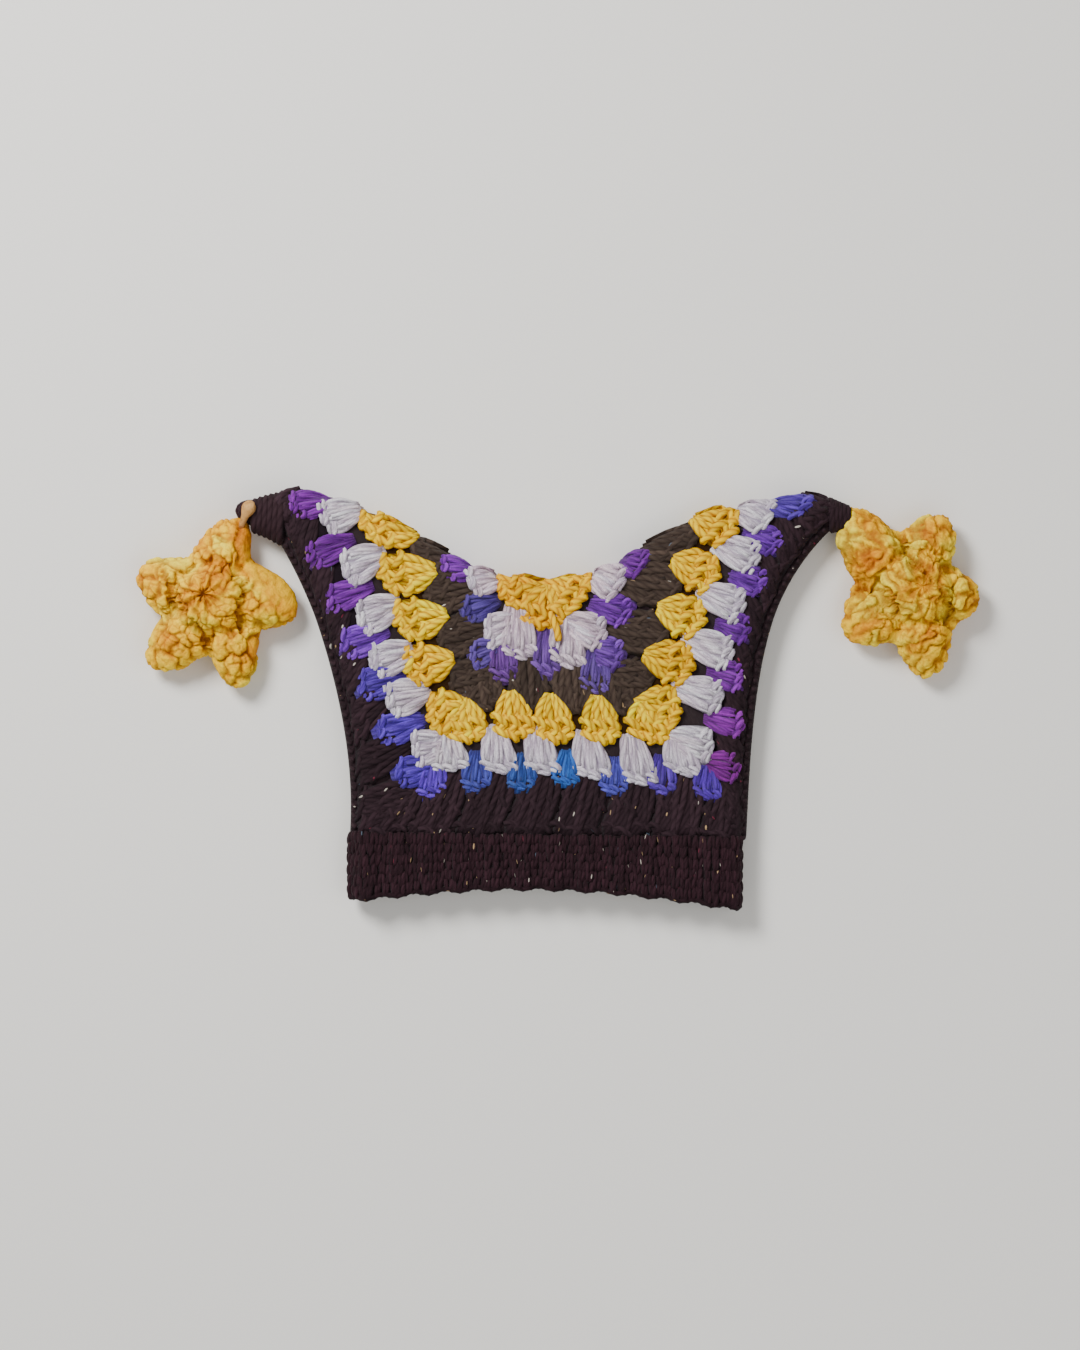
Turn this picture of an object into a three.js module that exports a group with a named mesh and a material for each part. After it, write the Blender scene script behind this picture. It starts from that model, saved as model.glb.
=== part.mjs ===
// A crocheted jester hat lying flat on its back: one six-cornered granny piece of eight rounds,
// folded in half over its top edge, with a ribbed brim and a stuffed star at each tip.
// Millimetres, +X to the wearer's left, +Y towards the tips, +Z up, origin under the middle.
import * as THREE from "three";

// The crochet
const WALL = 7;
const FOLD_RADIUS = 11;
const GAP = 0.3;
const ROUNDS = 8;
const SCALLOP = 3.5;
const CREST = 2.2;
const SEAM_ANGLE = THREE.MathUtils.degToRad(25);
const SEAM_RADIUS = 2.3;
const SEAM_INSET = 3.3;
const SEAM_SIDES = 8;
const SEAM_STEPS = 36;
const MIDDLE_Z = FOLD_RADIUS + CREST;

// Where the crochet starts, and the corners of each round as it lies
const START = { x: -8, y: 76 };
const CORNERS = [
  { round: 1, tipLeft: [-40, 80], lowLeft: [-28, 58], lowRight: [5, 54], tipRight: [23, 81] },
  { round: 2, tipLeft: [-57, 89], lowLeft: [-39, 37], lowRight: [22, 32], tipRight: [42, 93] },
  { round: 3, tipLeft: [-76, 98], lowLeft: [-49, 17], lowRight: [36, 13], tipRight: [63, 106] },
  { round: 4, tipLeft: [-96, 111], lowLeft: [-62, -3], lowRight: [53, -6], tipRight: [90, 119] },
  { round: 5, tipLeft: [-125, 125], lowLeft: [-74, -24], lowRight: [72, -25], tipRight: [117, 125] },
  { round: 6, tipLeft: [-148, 132], lowLeft: [-85, -43], lowRight: [94, -45], tipRight: [139, 130] },
  { round: 7, tipLeft: [-174, 137], lowLeft: [-101, -63], lowRight: [110, -63], tipRight: [167, 136] },
  { round: 8, tipLeft: [-192, 126], lowLeft: [-134, -88], lowRight: [121, -91], tipRight: [188, 124] },
];
const SIDES = [
  { from: "tipLeft", to: "lowLeft", skewed: false },
  { from: "lowLeft", to: "lowRight", skewed: false },
  { from: "lowRight", to: "tipRight", skewed: true },
];
// How far the middle of each side is drawn in, for the left, bottom and right sides
const DRAWN_IN = {
  5: [0, 0, 4],
  6: [0, 0, 6],
  7: [0, 6, 16],
  8: [19, 0, 29],
};

// Height of the crochet over its plain wall along a stitch cluster and in the gap beside it,
// and where a round meets the next one
const STITCH_PROFILE = [
  { along: 0.4, cluster: 1.6, gap: -0.9 },
  { along: 0.8, cluster: CREST, gap: -0.9 },
];
const EDGE_HEIGHT = { cluster: 0.9, gap: -0.6 };

// The brim
const BRIM = { left: -137, right: 120, wall: 7.5, ribs: 27, ribDepth: 1.4, edgeRound: 2 };
const RIB_SECTION = [
  { place: 0.3, depth: 0 },
  { place: 0.44, depth: BRIM.ribDepth },
  { place: 0.56, depth: BRIM.ribDepth },
  { place: 0.7, depth: 0 },
];
const BRIM_HEM = { left: -130, middle: -122, right: -136 };

// The stars: an arm is a direction in degrees and a reach, with the notch that follows it
const STAR = { waist: 13, top: 38, dimple: 2, boss: 3, bossRadius: 19, thinning: 0.0055, stations: 5 };
const STAR_TOP_RINGS = [0.14, 0.32, 0.5, 0.68, 0.84, 0.95, 1];
const STAR_BACK_RINGS = [0.95, 0.84, 0.6];
const STAR_LEFT = {
  x: -224,
  y: 63,
  arms: [
    { tip: 71, reach: 56.9, notch: 120, notchReach: 34 },
    { tip: 160, reach: 52, notch: 195, notchReach: 36 },
    { tip: 229, reach: 57, notch: 267, notchReach: 34 },
    { tip: 284, reach: 58, notch: 331, notchReach: 36 },
    { tip: 349, reach: 53, notch: 413, notchReach: 40 },
  ],
};
const STAR_RIGHT = {
  x: 230,
  y: 72,
  arms: [
    { tip: 62, reach: 50, notch: 101, notchReach: 37 },
    { tip: 130, reach: 66.5, notch: 174, notchReach: 37 },
    { tip: 218, reach: 51, notch: 253, notchReach: 35 },
    { tip: 280, reach: 58, notch: 319, notchReach: 36 },
    { tip: 352, reach: 44, notch: 389, notchReach: 30 },
  ],
};
const KNOT = { x: -201.5, y: 123, halfWidth: 10.4, halfHeight: 6.4, halfDepth: 7 };

const YARN = {
  yellow: new THREE.MeshStandardMaterial({ color: 0xf5c814, roughness: 0.85, metalness: 0 }),
  white: new THREE.MeshStandardMaterial({ color: 0xe1d7e6, roughness: 0.9, metalness: 0 }),
  purple: new THREE.MeshStandardMaterial({ color: 0x5a46b4, roughness: 0.9, metalness: 0 }),
  black: new THREE.MeshStandardMaterial({ color: 0x2c1e20, roughness: 0.95, metalness: 0 }),
  amber: new THREE.MeshStandardMaterial({ color: 0xe6aa3c, roughness: 0.8, metalness: 0 }),
};
const ROUND_YARN = ["yellow", "white", "purple", "black", "yellow", "white", "purple", "black"];

// A closed body from loose triangles: shared points are joined, and faces that collapsed go
function bodyOf(triangles) {
  const numbers = new Map();
  const points = [];
  const numberOf = (point) => {
    const key = [point.x, point.y, point.z].map((value) => Math.round(value * 1e4)).join(" ");
    if (!numbers.has(key)) {
      numbers.set(key, points.length);
      points.push(point);
    }
    return numbers.get(key);
  };
  const faces = triangles
    .map((corners) => corners.map(numberOf))
    .filter(([a, b, c]) => a !== b && b !== c && c !== a);
  let volume = 0;
  for (const [a, b, c] of faces) {
    volume += points[a].dot(new THREE.Vector3().crossVectors(points[b], points[c]));
  }
  const geometry = new THREE.BufferGeometry().setFromPoints(points);
  geometry.setIndex(faces.flatMap((face) => (volume > 0 ? face : [face[0], face[2], face[1]])));
  geometry.computeVertexNormals();
  return geometry;
}

// The skin over a row of sections with equal numbers of points, each section a closed loop.
// Faces that meet a neighbour's twisted end face are split along the same diagonal as it is.
function skin(sections, endless, twistedRow = -1) {
  const triangles = [];
  const last = endless ? sections.length : sections.length - 1;
  for (let i = 0; i < last; i += 1) {
    const here = sections[i];
    const next = sections[(i + 1) % sections.length];
    here.forEach((point, j) => {
      const above = (j + 1) % here.length;
      if (j === twistedRow) {
        triangles.push([point, next[j], here[above]], [next[j], next[above], here[above]]);
      } else {
        triangles.push([point, next[j], next[above]], [point, next[above], here[above]]);
      }
    });
  }
  return triangles;
}

function planeOf(pair) {
  return new THREE.Vector2(pair[0], pair[1]);
}

// A point of a round's outer edge in plan: odd steps are stitch clusters, even ones the gaps
function edgePoint(round, sideNumber, step) {
  const side = SIDES[sideNumber];
  const corners = CORNERS[round - 1];
  const from = planeOf(corners[side.from]);
  const to = planeOf(corners[side.to]);
  const steps = 2 * round;
  const share = step / steps;
  const outward = new THREE.Vector2(to.y - from.y, from.x - to.x).normalize();
  const drawn = DRAWN_IN[round]?.[sideNumber] ?? 0;
  const even = 4 * share * (1 - share);
  const nearTip = 6.75 * (1 - share) * share * share;
  const bow = side.skewed ? (even + nearTip) / 2 : even;
  const atCorner = step === 0 || step === steps;
  const scallop = round === ROUNDS || atCorner ? 0 : SCALLOP * (step % 2 === 1 ? 1 : -1);
  return from.lerp(to, share).addScaledVector(outward, scallop - drawn * bow);
}

// The hat's closed outline above the brim, as segments with their inward directions
function outlineSegments() {
  const steps = 2 * ROUNDS;
  const points = [];
  for (let step = steps; step >= 0; step -= 1) points.push(edgePoint(ROUNDS, 0, step));
  for (let round = ROUNDS - 1; round >= 1; round -= 1) points.push(planeOf(CORNERS[round - 1].tipLeft));
  points.push(new THREE.Vector2(START.x, START.y));
  for (let round = 1; round < ROUNDS; round += 1) points.push(planeOf(CORNERS[round - 1].tipRight));
  for (let step = steps; step >= 0; step -= 1) points.push(edgePoint(ROUNDS, 2, step));
  return points.slice(1).map((end, i) => {
    const start = points[i];
    const run = end.clone().sub(start);
    return { start, run, inward: new THREE.Vector2(run.y, -run.x).normalize() };
  });
}
const OUTLINE = outlineSegments();

// Distance from the outline, and the direction away from it, eased where two edges meet
function fromOutline(point) {
  let distance = Infinity;
  const inward = new THREE.Vector2();
  for (const segment of OUTLINE) {
    const offset = point.clone().sub(segment.start);
    const share = THREE.MathUtils.clamp(offset.dot(segment.run) / segment.run.lengthSq(), 0, 1);
    const away = offset.addScaledVector(segment.run, -share).length();
    distance = Math.min(distance, away);
    inward.addScaledVector(segment.inward, 1 / (away * away + 1));
  }
  return { distance, inward: inward.normalize() };
}

// The wall at a plan point: its plain outer face and the direction out of it.
// Near the outline the wall turns round the fold, and along a seam it stops at the seam's angle.
function wallAt(point, leastAngle) {
  const { distance, inward } = fromOutline(point);
  const turned = Math.acos(1 - Math.min(distance, FOLD_RADIUS) / FOLD_RADIUS);
  const angle = Math.max(turned, leastAngle);
  const flat = -Math.cos(angle);
  return {
    face: new THREE.Vector3(point.x, point.y, FOLD_RADIUS * Math.sin(angle)),
    out: new THREE.Vector3(inward.x * flat, inward.y * flat, Math.sin(angle)),
  };
}

// One spoke of a round, from the round before it out to its own edge, as a closed section.
// Both ends are drawn back half a gap along the wall, so that two rounds meet face to face.
function spoke(round, sideNumber, step) {
  const steps = 2 * round;
  const innerStep = THREE.MathUtils.clamp(step - 1, 0, steps - 2);
  const innerPlan = round === 1
    ? new THREE.Vector2(START.x, START.y)
    : edgePoint(round - 1, sideNumber, innerStep);
  const atTip = (sideNumber === 0 && step === 0) || (sideNumber === 2 && step === steps);
  const sewn = round === ROUNDS && !atTip && (sideNumber !== 1 || step === 0 || step === steps);
  const sewnAngle = (along) => (along === 1 && sewn ? SEAM_ANGLE : 0);

  const cornerStep = { 0: 0, [steps - 2]: steps }[innerStep] ?? step;
  const innerWall = wallAt(innerPlan, 0);
  const away = wallAt(edgePoint(round, sideNumber, cornerStep), 0).face.sub(innerWall.face);
  const innerShift = alongWall(away, innerWall.out).multiplyScalar(round === 1 ? 0 : GAP / 2);
  const outerWall = wallAt(edgePoint(round, sideNumber, step), sewnAngle(1));
  const back = innerWall.face.clone().sub(outerWall.face);
  const outerShift = alongWall(back, outerWall.out).multiplyScalar(GAP / 2);

  const kind = step % 2 === 1 ? "cluster" : "gap";
  const innerHeight = round === 1 ? 0 : EDGE_HEIGHT[innerStep % 2 === 1 ? "cluster" : "gap"];
  const shift = { 0: innerShift, 1: outerShift };
  const heightAt = { 0: innerHeight, 1: EDGE_HEIGHT[kind] };
  const rows = [0, ...STITCH_PROFILE.map((row) => row.along), 1].map((along) => {
    const outerPlan = edgePoint(round, sideNumber, step);
    const wall = wallAt(innerPlan.clone().lerp(outerPlan, along), sewnAngle(along));
    const height = heightAt[along] ?? STITCH_PROFILE.find((row) => row.along === along)[kind];
    const move = shift[along] ?? new THREE.Vector3();
    return {
      outside: wall.face.clone().addScaledVector(wall.out, height).add(move),
      inside: wall.face.clone().addScaledVector(wall.out, -WALL).add(move),
    };
  });
  return [...rows.map((row) => row.outside), rows.at(-1).inside, rows[0].inside];
}

// A unit vector along the wall, as near as can be to the wanted direction
function alongWall(wanted, out) {
  return wanted.clone().addScaledVector(out, -wanted.dot(out)).normalize();
}

// A whole round: the front's three sides, and the back as their mirror image
function roundBody(round) {
  const front = [];
  SIDES.forEach((side, sideNumber) => {
    for (let step = 0; step < 2 * round; step += 1) front.push(spoke(round, sideNumber, step));
  });
  front.push(spoke(round, SIDES.length - 1, 2 * round));
  const back = front.slice(1, -1).reverse();
  const mirrored = back.map((section) => section.map((p) => new THREE.Vector3(p.x, p.y, -p.z)));
  return bodyOf(skin([...front, ...mirrored], true, front[0].length - 1));
}

// The whip-stitched seam that closes a side, between the front's edge and the back's
function seamBody(sideNumber) {
  const path = [];
  const last = 2 * ROUNDS;
  for (let step = 1; step <= last; step += 1) {
    const place = edgePoint(ROUNDS, sideNumber, sideNumber === 0 ? step : last - step);
    const { inward } = fromOutline(place);
    place.addScaledVector(inward, SEAM_INSET);
    if (step === last) place.y += SEAM_RADIUS;
    path.push(new THREE.Vector3(place.x, place.y, 0));
  }
  const circle = new THREE.EllipseCurve(0, 0, SEAM_RADIUS, SEAM_RADIUS).getPoints(SEAM_SIDES);
  return new THREE.ExtrudeGeometry(new THREE.Shape(circle.slice(0, SEAM_SIDES)), {
    steps: SEAM_STEPS,
    extrudePath: new THREE.CatmullRomCurve3(path),
  });
}

// The brim: a flattened ribbed tube, whose hem lies a little lower at both ends
function brimBody() {
  const outerRadius = MIDDLE_Z;
  const straight = BRIM.right - BRIM.left - 2 * outerRadius;
  const turn = Math.PI * outerRadius;
  const around = 2 * (straight + turn);
  const low = CORNERS.at(-1);
  const slope = (low.lowRight[1] - low.lowLeft[1]) / (low.lowRight[0] - low.lowLeft[0]);
  const edgesAt = (x) => ({
    top: low.lowLeft[1] + slope * (x - low.lowLeft[0]) - GAP,
    hem: hemAt(x),
  });
  const sections = [];
  for (let rib = 0; rib < BRIM.ribs; rib += 1) {
    for (const { place, depth } of RIB_SECTION) {
      const run = ((rib + place) / BRIM.ribs) * around;
      sections.push(brimSection(run, straight, turn, outerRadius, depth, edgesAt));
    }
  }
  return bodyOf(skin(sections, true));
}

// The hem's height in plan: a straight line between its ends, lifted in the middle
function hemAt(x) {
  const share = THREE.MathUtils.clamp((x - BRIM.left) / (BRIM.right - BRIM.left), 0, 1);
  const straight = BRIM_HEM.left + (BRIM_HEM.right - BRIM_HEM.left) * share;
  const lift = BRIM_HEM.middle - (BRIM_HEM.left + BRIM_HEM.right) / 2;
  return straight + lift * Math.sin(Math.PI * share);
}

// A section of the brim at a distance round it: along the top, the right turn, back and left turn
function brimSection(run, straight, turn, outerRadius, depth, edgesAt) {
  const leftCentre = BRIM.left + outerRadius;
  const rightCentre = BRIM.right - outerRadius;
  let centreX = leftCentre + run;
  let angle = Math.PI / 2;
  if (run > straight) {
    centreX = rightCentre;
    angle = Math.PI / 2 - Math.min((run - straight) / outerRadius, Math.PI);
  }
  if (run > straight + turn) {
    centreX = Math.max(rightCentre - (run - straight - turn), leftCentre);
    angle = -Math.PI / 2 - Math.max(run - 2 * straight - turn, 0) / outerRadius;
  }
  const at = (radius, y) => new THREE.Vector3(
    centreX + radius * Math.cos(angle), y, radius * Math.sin(angle));
  const outer = outerRadius - depth;
  const inner = outerRadius - BRIM.wall;
  const edges = edgesAt(centreX + outer * Math.cos(angle));
  return [
    at(outer - BRIM.edgeRound, edges.top),
    at(outer, edges.top - BRIM.edgeRound),
    at(outer, edges.hem + BRIM.edgeRound),
    at(outer - BRIM.edgeRound, edges.hem),
    at(inner, edges.hem),
    at(inner, edges.top),
  ];
}

// A stuffed star: its outline swings between the arms' reach and the notches', and its top
// is a dome with a boss in the middle, drawn down to a dimple where the stitching starts
function starBody(star) {
  const stations = [];
  star.arms.forEach((arm, i) => {
    const after = star.arms[(i + 1) % star.arms.length];
    const nextTip = after.tip + (i + 1 === star.arms.length ? 360 : 0);
    for (let k = 0; k < 2 * STAR.stations; k += 1) {
      const towardsNotch = k < STAR.stations;
      const share = (k % STAR.stations) / STAR.stations;
      const from = towardsNotch ? arm.tip : arm.notch;
      const to = towardsNotch ? arm.notch : nextTip;
      const fromTip = towardsNotch ? share : 1 - share;
      const tipReach = towardsNotch ? arm.reach : after.reach;
      const swing = Math.pow(0.5 + 0.5 * Math.cos(Math.PI * fromTip), 1.15);
      stations.push({
        angle: THREE.MathUtils.degToRad(from + (to - from) * share),
        reach: arm.notchReach + (tipReach - arm.notchReach) * swing,
      });
    }
  });
  const ring = (share, heightAt) => stations.map(({ angle, reach }) => new THREE.Vector3(
    share * reach * Math.cos(angle), share * reach * Math.sin(angle), heightAt(share, reach)));
  const crown = (share, reach) => {
    const radius = share * reach;
    const dome = Math.pow(Math.max(1 - Math.pow(share, 2.4), 0), 0.6) * (1 - STAR.thinning * radius);
    const boss = STAR.boss * Math.exp(-Math.pow(radius / STAR.bossRadius, 4));
    return STAR.waist + (STAR.top - STAR.waist - STAR.boss) * dome + boss;
  };
  const belly = (share) => STAR.waist - Math.min(STAR.waist, 1.15 * STAR.waist * Math.sqrt(1 - share ** 3));
  const rings = [
    ...STAR_TOP_RINGS.map((share) => ring(share, crown)),
    ...STAR_BACK_RINGS.map((share) => ring(share, belly)),
  ];
  const top = new THREE.Vector3(0, 0, STAR.top - STAR.dimple);
  const bottom = new THREE.Vector3(0, 0, 0);
  const triangles = skin(rings, false);
  const closeTo = (pole, loop) => loop.forEach((point, i) => {
    triangles.push([pole, point, loop[(i + 1) % loop.length]]);
  });
  closeTo(top, rings[0]);
  closeTo(bottom, [...rings.at(-1)].reverse());
  return bodyOf(triangles);
}

const hat = new THREE.Group();
const flatHat = new THREE.Group();
flatHat.position.z = MIDDLE_Z;
hat.add(flatHat);

function place(parent, name, geometry, material) {
  const mesh = new THREE.Mesh(geometry, material);
  mesh.name = name;
  parent.add(mesh);
  return mesh;
}

ROUND_YARN.forEach((yarn, i) => place(flatHat, `round_${i + 1}`, roundBody(i + 1), YARN[yarn]));
place(flatHat, "side_seam_left", seamBody(0), YARN.black);
place(flatHat, "side_seam_right", seamBody(2), YARN.black);
place(flatHat, "brim", brimBody(), YARN.black);

const knot = place(flatHat, "star_knot_left", new THREE.SphereGeometry(1, 12, 8), YARN.black);
knot.scale.set(KNOT.halfWidth, KNOT.halfHeight, KNOT.halfDepth);
knot.position.set(KNOT.x, KNOT.y, 0);

place(hat, "star_left", starBody(STAR_LEFT), YARN.amber).position.set(STAR_LEFT.x, STAR_LEFT.y, 0);
place(hat, "star_right", starBody(STAR_RIGHT), YARN.amber).position.set(STAR_RIGHT.x, STAR_RIGHT.y, 0);

// The origin goes under the middle of the whole object
const middle = new THREE.Box3().setFromObject(hat, true).getCenter(new THREE.Vector3());
hat.position.set(-middle.x, -middle.y, 0);

export default hat;
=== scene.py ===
import math

import bpy
import numpy as np
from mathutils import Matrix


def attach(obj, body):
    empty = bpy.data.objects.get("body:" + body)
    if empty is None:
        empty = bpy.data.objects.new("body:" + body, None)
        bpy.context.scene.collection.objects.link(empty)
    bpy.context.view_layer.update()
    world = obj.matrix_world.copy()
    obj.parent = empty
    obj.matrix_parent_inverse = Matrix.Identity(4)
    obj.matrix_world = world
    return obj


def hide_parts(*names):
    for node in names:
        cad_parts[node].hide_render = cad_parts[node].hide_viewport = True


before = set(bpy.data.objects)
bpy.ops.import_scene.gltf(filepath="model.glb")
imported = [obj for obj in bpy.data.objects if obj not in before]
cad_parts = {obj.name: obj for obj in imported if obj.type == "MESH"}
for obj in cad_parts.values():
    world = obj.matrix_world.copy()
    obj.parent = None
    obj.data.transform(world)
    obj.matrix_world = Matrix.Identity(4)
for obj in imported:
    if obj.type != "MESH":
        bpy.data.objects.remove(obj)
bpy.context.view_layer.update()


# The crown: one six-cornered granny piece, folded in half over its top edge and laid flat. It has
# eight rounds, each crocheted in its own yarn as clusters of three stitches in the gaps of the round
# before. Lengths are mm: X along the brim, Y towards the tips, Z up from the hat's middle plane.
MM = 0.001
ORIGIN = np.array([0.3, 0.25])
MIDDLE_Z = 13.2
ROUNDS = 8
START = (-8, 76)
CORNERS = {
    "tip_left": [(-40, 80), (-57, 89), (-76, 98), (-96, 111), (-129, 127), (-151, 133.5), (-177, 139),
                 (-192, 126)],
    "low_left": [(-28, 58), (-39, 37), (-49, 17), (-62, -3), (-74, -24), (-85, -43), (-101, -63),
                 (-134, -88)],
    "low_right": [(5, 54), (22, 32), (36, 13), (53, -6), (72, -25), (94, -45), (110, -63), (121, -91)],
    "tip_right": [(23, 81), (42, 93), (63, 106), (90, 119), (117, 125), (139, 130), (167, 136), (188, 124)],
}
SIDES = [("tip_left", "low_left"), ("low_left", "low_right"), ("low_right", "tip_right")]
# Each round's edge swings this far out and in between its clusters, and its sides bow in by this much
SCALLOP = 4.2
DRAWN_IN = {5: (0, 0, 4), 6: (0, 0, 6), 7: (0, 6, 16), 8: (19, 0, 29)}
# Clusters of the first rounds hang this much lower at the bottom
REACH = {1: 7.0, 2: 6.5, 3: 5.0}
# How far each cluster has slipped from its even place as the hat lies, from the left tip round
SLIPPED = {
    2: [(-1, 0), (0, -8), (0, 1), (0, -1), (0, -5), (1, -2)],
    3: [(-3, 2), (2, -1), (-2, -4), (2, 1), (0, 5), (2, -4), (1, 0), (-3, -4), (-3, -1)],
    5: [(-1, 2), (0, 0), (-1, 0), (-6, 0), (-1, -1), (1, 0), (2, 2), (-1, 0), (1, 0), (3, 1), (0, 3), (1, 1),
        (0, 0), (0, -1), (0, -1)],
    6: [(-4, -1), (-1, -6), (-2, -8), (-5, -7), (-6, -2), (0, -4), (1, 1), (4, 0), (2, 0), (5, -3), (5, -6),
        (4, 0), (0, 0), (1, 2), (1, 1), (2, 2), (3, 3), (1, 2)],
    7: [(-2, 0), (-2, -5), (-1, -5), (-2, -5), (-2, -2), (0, -3), (1, 0), (4, 0), (2, 1), (2, 0), (1, 3),
        (2, -2), (3, 0), (2, -1), (5, 5), (5, 2), (0, 2), (-1, 4), (2, 7), (1, 4), (5, 2)],
}
ROOT_SLIPS = 0.85

FOLD_RADIUS = 11.0
WALL_THICK = 7.0
WALL_TOP = -2.4
WALL_COLUMNS = 6
SEAM_ANGLE = math.radians(25)

# One stitch of a cluster, as strands of yarn: girth, and a path across the stitch, along it from the
# apex to the outer end, and in mm under the crest
CHUNKY_STITCH = {
    "leg": (1.1, [(-.06, 0, -4.4), (-.1, .14, -3.0), (-.12, .33, -.6), (-.06, .5, -.8), (.1, .64, -3.0)]),
    "hind leg": (0.95, [(.16, .02, -4.8), (.26, .2, -3.2), (.3, .4, -1.8), (.16, .58, -2.4),
                        (-.06, .74, -3)]),
    "wrap": (1.1, [(-.34, .54, -3.0), (-.18, .53, -.6), (.1, .62, 0), (.3, .74, -2.6)]),
    "upper leg": (1.0, [(.16, .66, -2.6), (.08, .74, -.9), (-.08, .82, -.9), (-.2, .92, -2.4)]),
    "near loop": (1.05, [(-.38, .82, -2.4), (-.2, .86, -.5), (.02, .93, -.2), (.16, 1.0, -1.8)]),
    "far loop": (1.0, [(-.12, .98, -2.2), (.06, .92, -.9), (.22, .86, -.7), (.38, .86, -2.2)]),
}
LONG_STITCH = {
    "near leg": (1.1, [(-.12, 0, -3.6), (-.15, .24, -2.3), (-.15, .48, -1.3), (-.12, .7, -1),
                       (-.04, .9, -2.2)]),
    "far leg": (1.1, [(.12, 0, -3.8), (.14, .24, -2.5), (.16, .48, -1.5), (.16, .7, -1.2), (.12, .9, -2.4)]),
    "middle leg": (1.05, [(0, .04, -3.0), (.0, .3, -1.2), (.01, .55, -.2), (.03, .78, -.6)]),
    "near loop": (1.15, [(-.26, .86, -2.4), (-.16, .85, -.5), (.02, .89, 0), (.16, .94, -.9),
                         (.24, .97, -2.4)]),
    "far loop": (1.1, [(-.26, .98, -2.6), (-.12, .97, -1.3), (.08, 1.0, -1.1), (.24, 1.0, -2.6)]),
}
FLAT_STITCH = {
    "leg": (1.1, [(-.1, 0, -2.4), (-.12, .25, -1.4), (-.1, .5, -.8), (-.02, .75, -.9), (.06, 1.0, -1.8)]),
    "hind leg": (1.1, [(.14, .02, -2.6), (.2, .28, -1.5), (.2, .52, -1), (.12, .76, -1), (.1, .98, -2)]),
    "wrap": (1.0, [(-.3, .5, -2.0), (-.12, .56, -.6), (.12, .64, -.4), (.32, .72, -2.0)]),
    "top": (1.0, [(-.36, .9, -1.9), (-.1, .88, -1.1), (.12, .92, -1.1), (.36, .98, -1.9)]),
}
# Where the outer two stitches lie beside the middle one, and how much shorter and lower they are
BESIDE, SHORTER, LOWER = 0.62, 0.06, 0.7
# How much strands differ by hand, across, along and above the stitch and in girth
UNEVEN = {"sway": 0.04, "across": 0.02, "along": 0.015, "height": 0.15, "girth": 0.05}
APEX_ENDS = 0.45
STRAND_SIDES = 6
# Strands take the twist and flecks of the yarn from a random place within this many mm of it
SKEIN = 4000


def edge(round_number, side, share, scallop=0.0):
    """Outer edge of a round in plan: a straight side bowed in by a parabola, on the right by half of
    one and half of a curve that leans to the tip, and pushed out by scallop."""
    start, end = (np.array(CORNERS[name][round_number - 1], float) for name in SIDES[side])
    share = np.asarray(share, float)[..., None]
    outward = np.array([end[1] - start[1], start[0] - end[0]])
    outward = outward / np.linalg.norm(outward)
    even = 4 * share * (1 - share)
    leaning = 6.75 * (1 - share) * share ** 2
    bow = (even + leaning) / 2 if side == 2 else even
    drawn = DRAWN_IN.get(round_number, (0, 0, 0))[side]
    return start + (end - start) * share + outward * (np.asarray(scallop, float)[..., None] - drawn * bow)


def flat_outline():
    """The crown's outline over the brim: left side up, the fold along the tips, right side down."""
    shares = np.linspace(1, 0, 2 * ROUNDS + 1)
    fold = CORNERS["tip_left"][-2::-1] + [START] + CORNERS["tip_right"][:-1]
    return np.concatenate([edge(ROUNDS, 0, shares), np.array(fold, float), edge(ROUNDS, 2, shares)])


OUTLINE = flat_outline()


def wall(plan, least_angle=0.0):
    """The wall over points in plan, and the direction out of it: height R sin(a) where the distance
    from the outline is R (1 - cos(a)), and flat past R."""
    flat = plan.reshape(-1, 2)
    start, run = OUTLINE[:-1], np.diff(OUTLINE, axis=0)
    offset = flat[:, None, :] - start
    share = np.clip((offset * run).sum(-1) / (run ** 2).sum(-1), 0, 1)
    away = np.linalg.norm(offset - share[..., None] * run, axis=-1)
    inward = np.stack([run[:, 1], -run[:, 0]], -1)
    inward = inward / np.linalg.norm(inward, axis=-1, keepdims=True)
    lean = (inward / (away ** 2 + 1)[..., None]).sum(1)
    lean = lean / np.linalg.norm(lean, axis=-1, keepdims=True)
    nearest = away.argmin(1)
    rows = np.arange(len(flat))
    from_edge = offset[rows, nearest] - share[rows, nearest, None] * run[nearest]
    depth = np.where((from_edge * inward[nearest]).sum(-1) > 0, away.min(1), 0)
    angle = np.arccos(1 - np.minimum(depth, FOLD_RADIUS) / FOLD_RADIUS)
    angle = np.maximum(angle, np.broadcast_to(least_angle, plan.shape[:-1]).reshape(-1))
    face = np.column_stack([flat, FOLD_RADIUS * np.sin(angle)])
    out = np.column_stack([-lean * np.cos(angle)[:, None], np.sin(angle)])
    return face.reshape(*plan.shape[:-1], 3), out.reshape(*plan.shape[:-1], 3)


def smooth_path(knots, count):
    """Points evenly spread in knot number along a Catmull-Rom curve through the knots."""
    knots = np.array(knots, float)
    padded = np.concatenate([[2 * knots[0] - knots[1]], knots, [2 * knots[-1] - knots[-2]]])
    at = np.linspace(0, len(knots) - 1, count)
    i = np.minimum(at.astype(int), len(knots) - 2)
    t = (at - i)[:, None]
    a, b, c, d = (padded[i + k] for k in range(4))
    square, cube = 2 * a - 5 * b + 4 * c - d, 3 * b - a - 3 * c + d
    return 0.5 * (2 * b + (c - a) * t + square * t ** 2 + cube * t ** 3)


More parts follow.
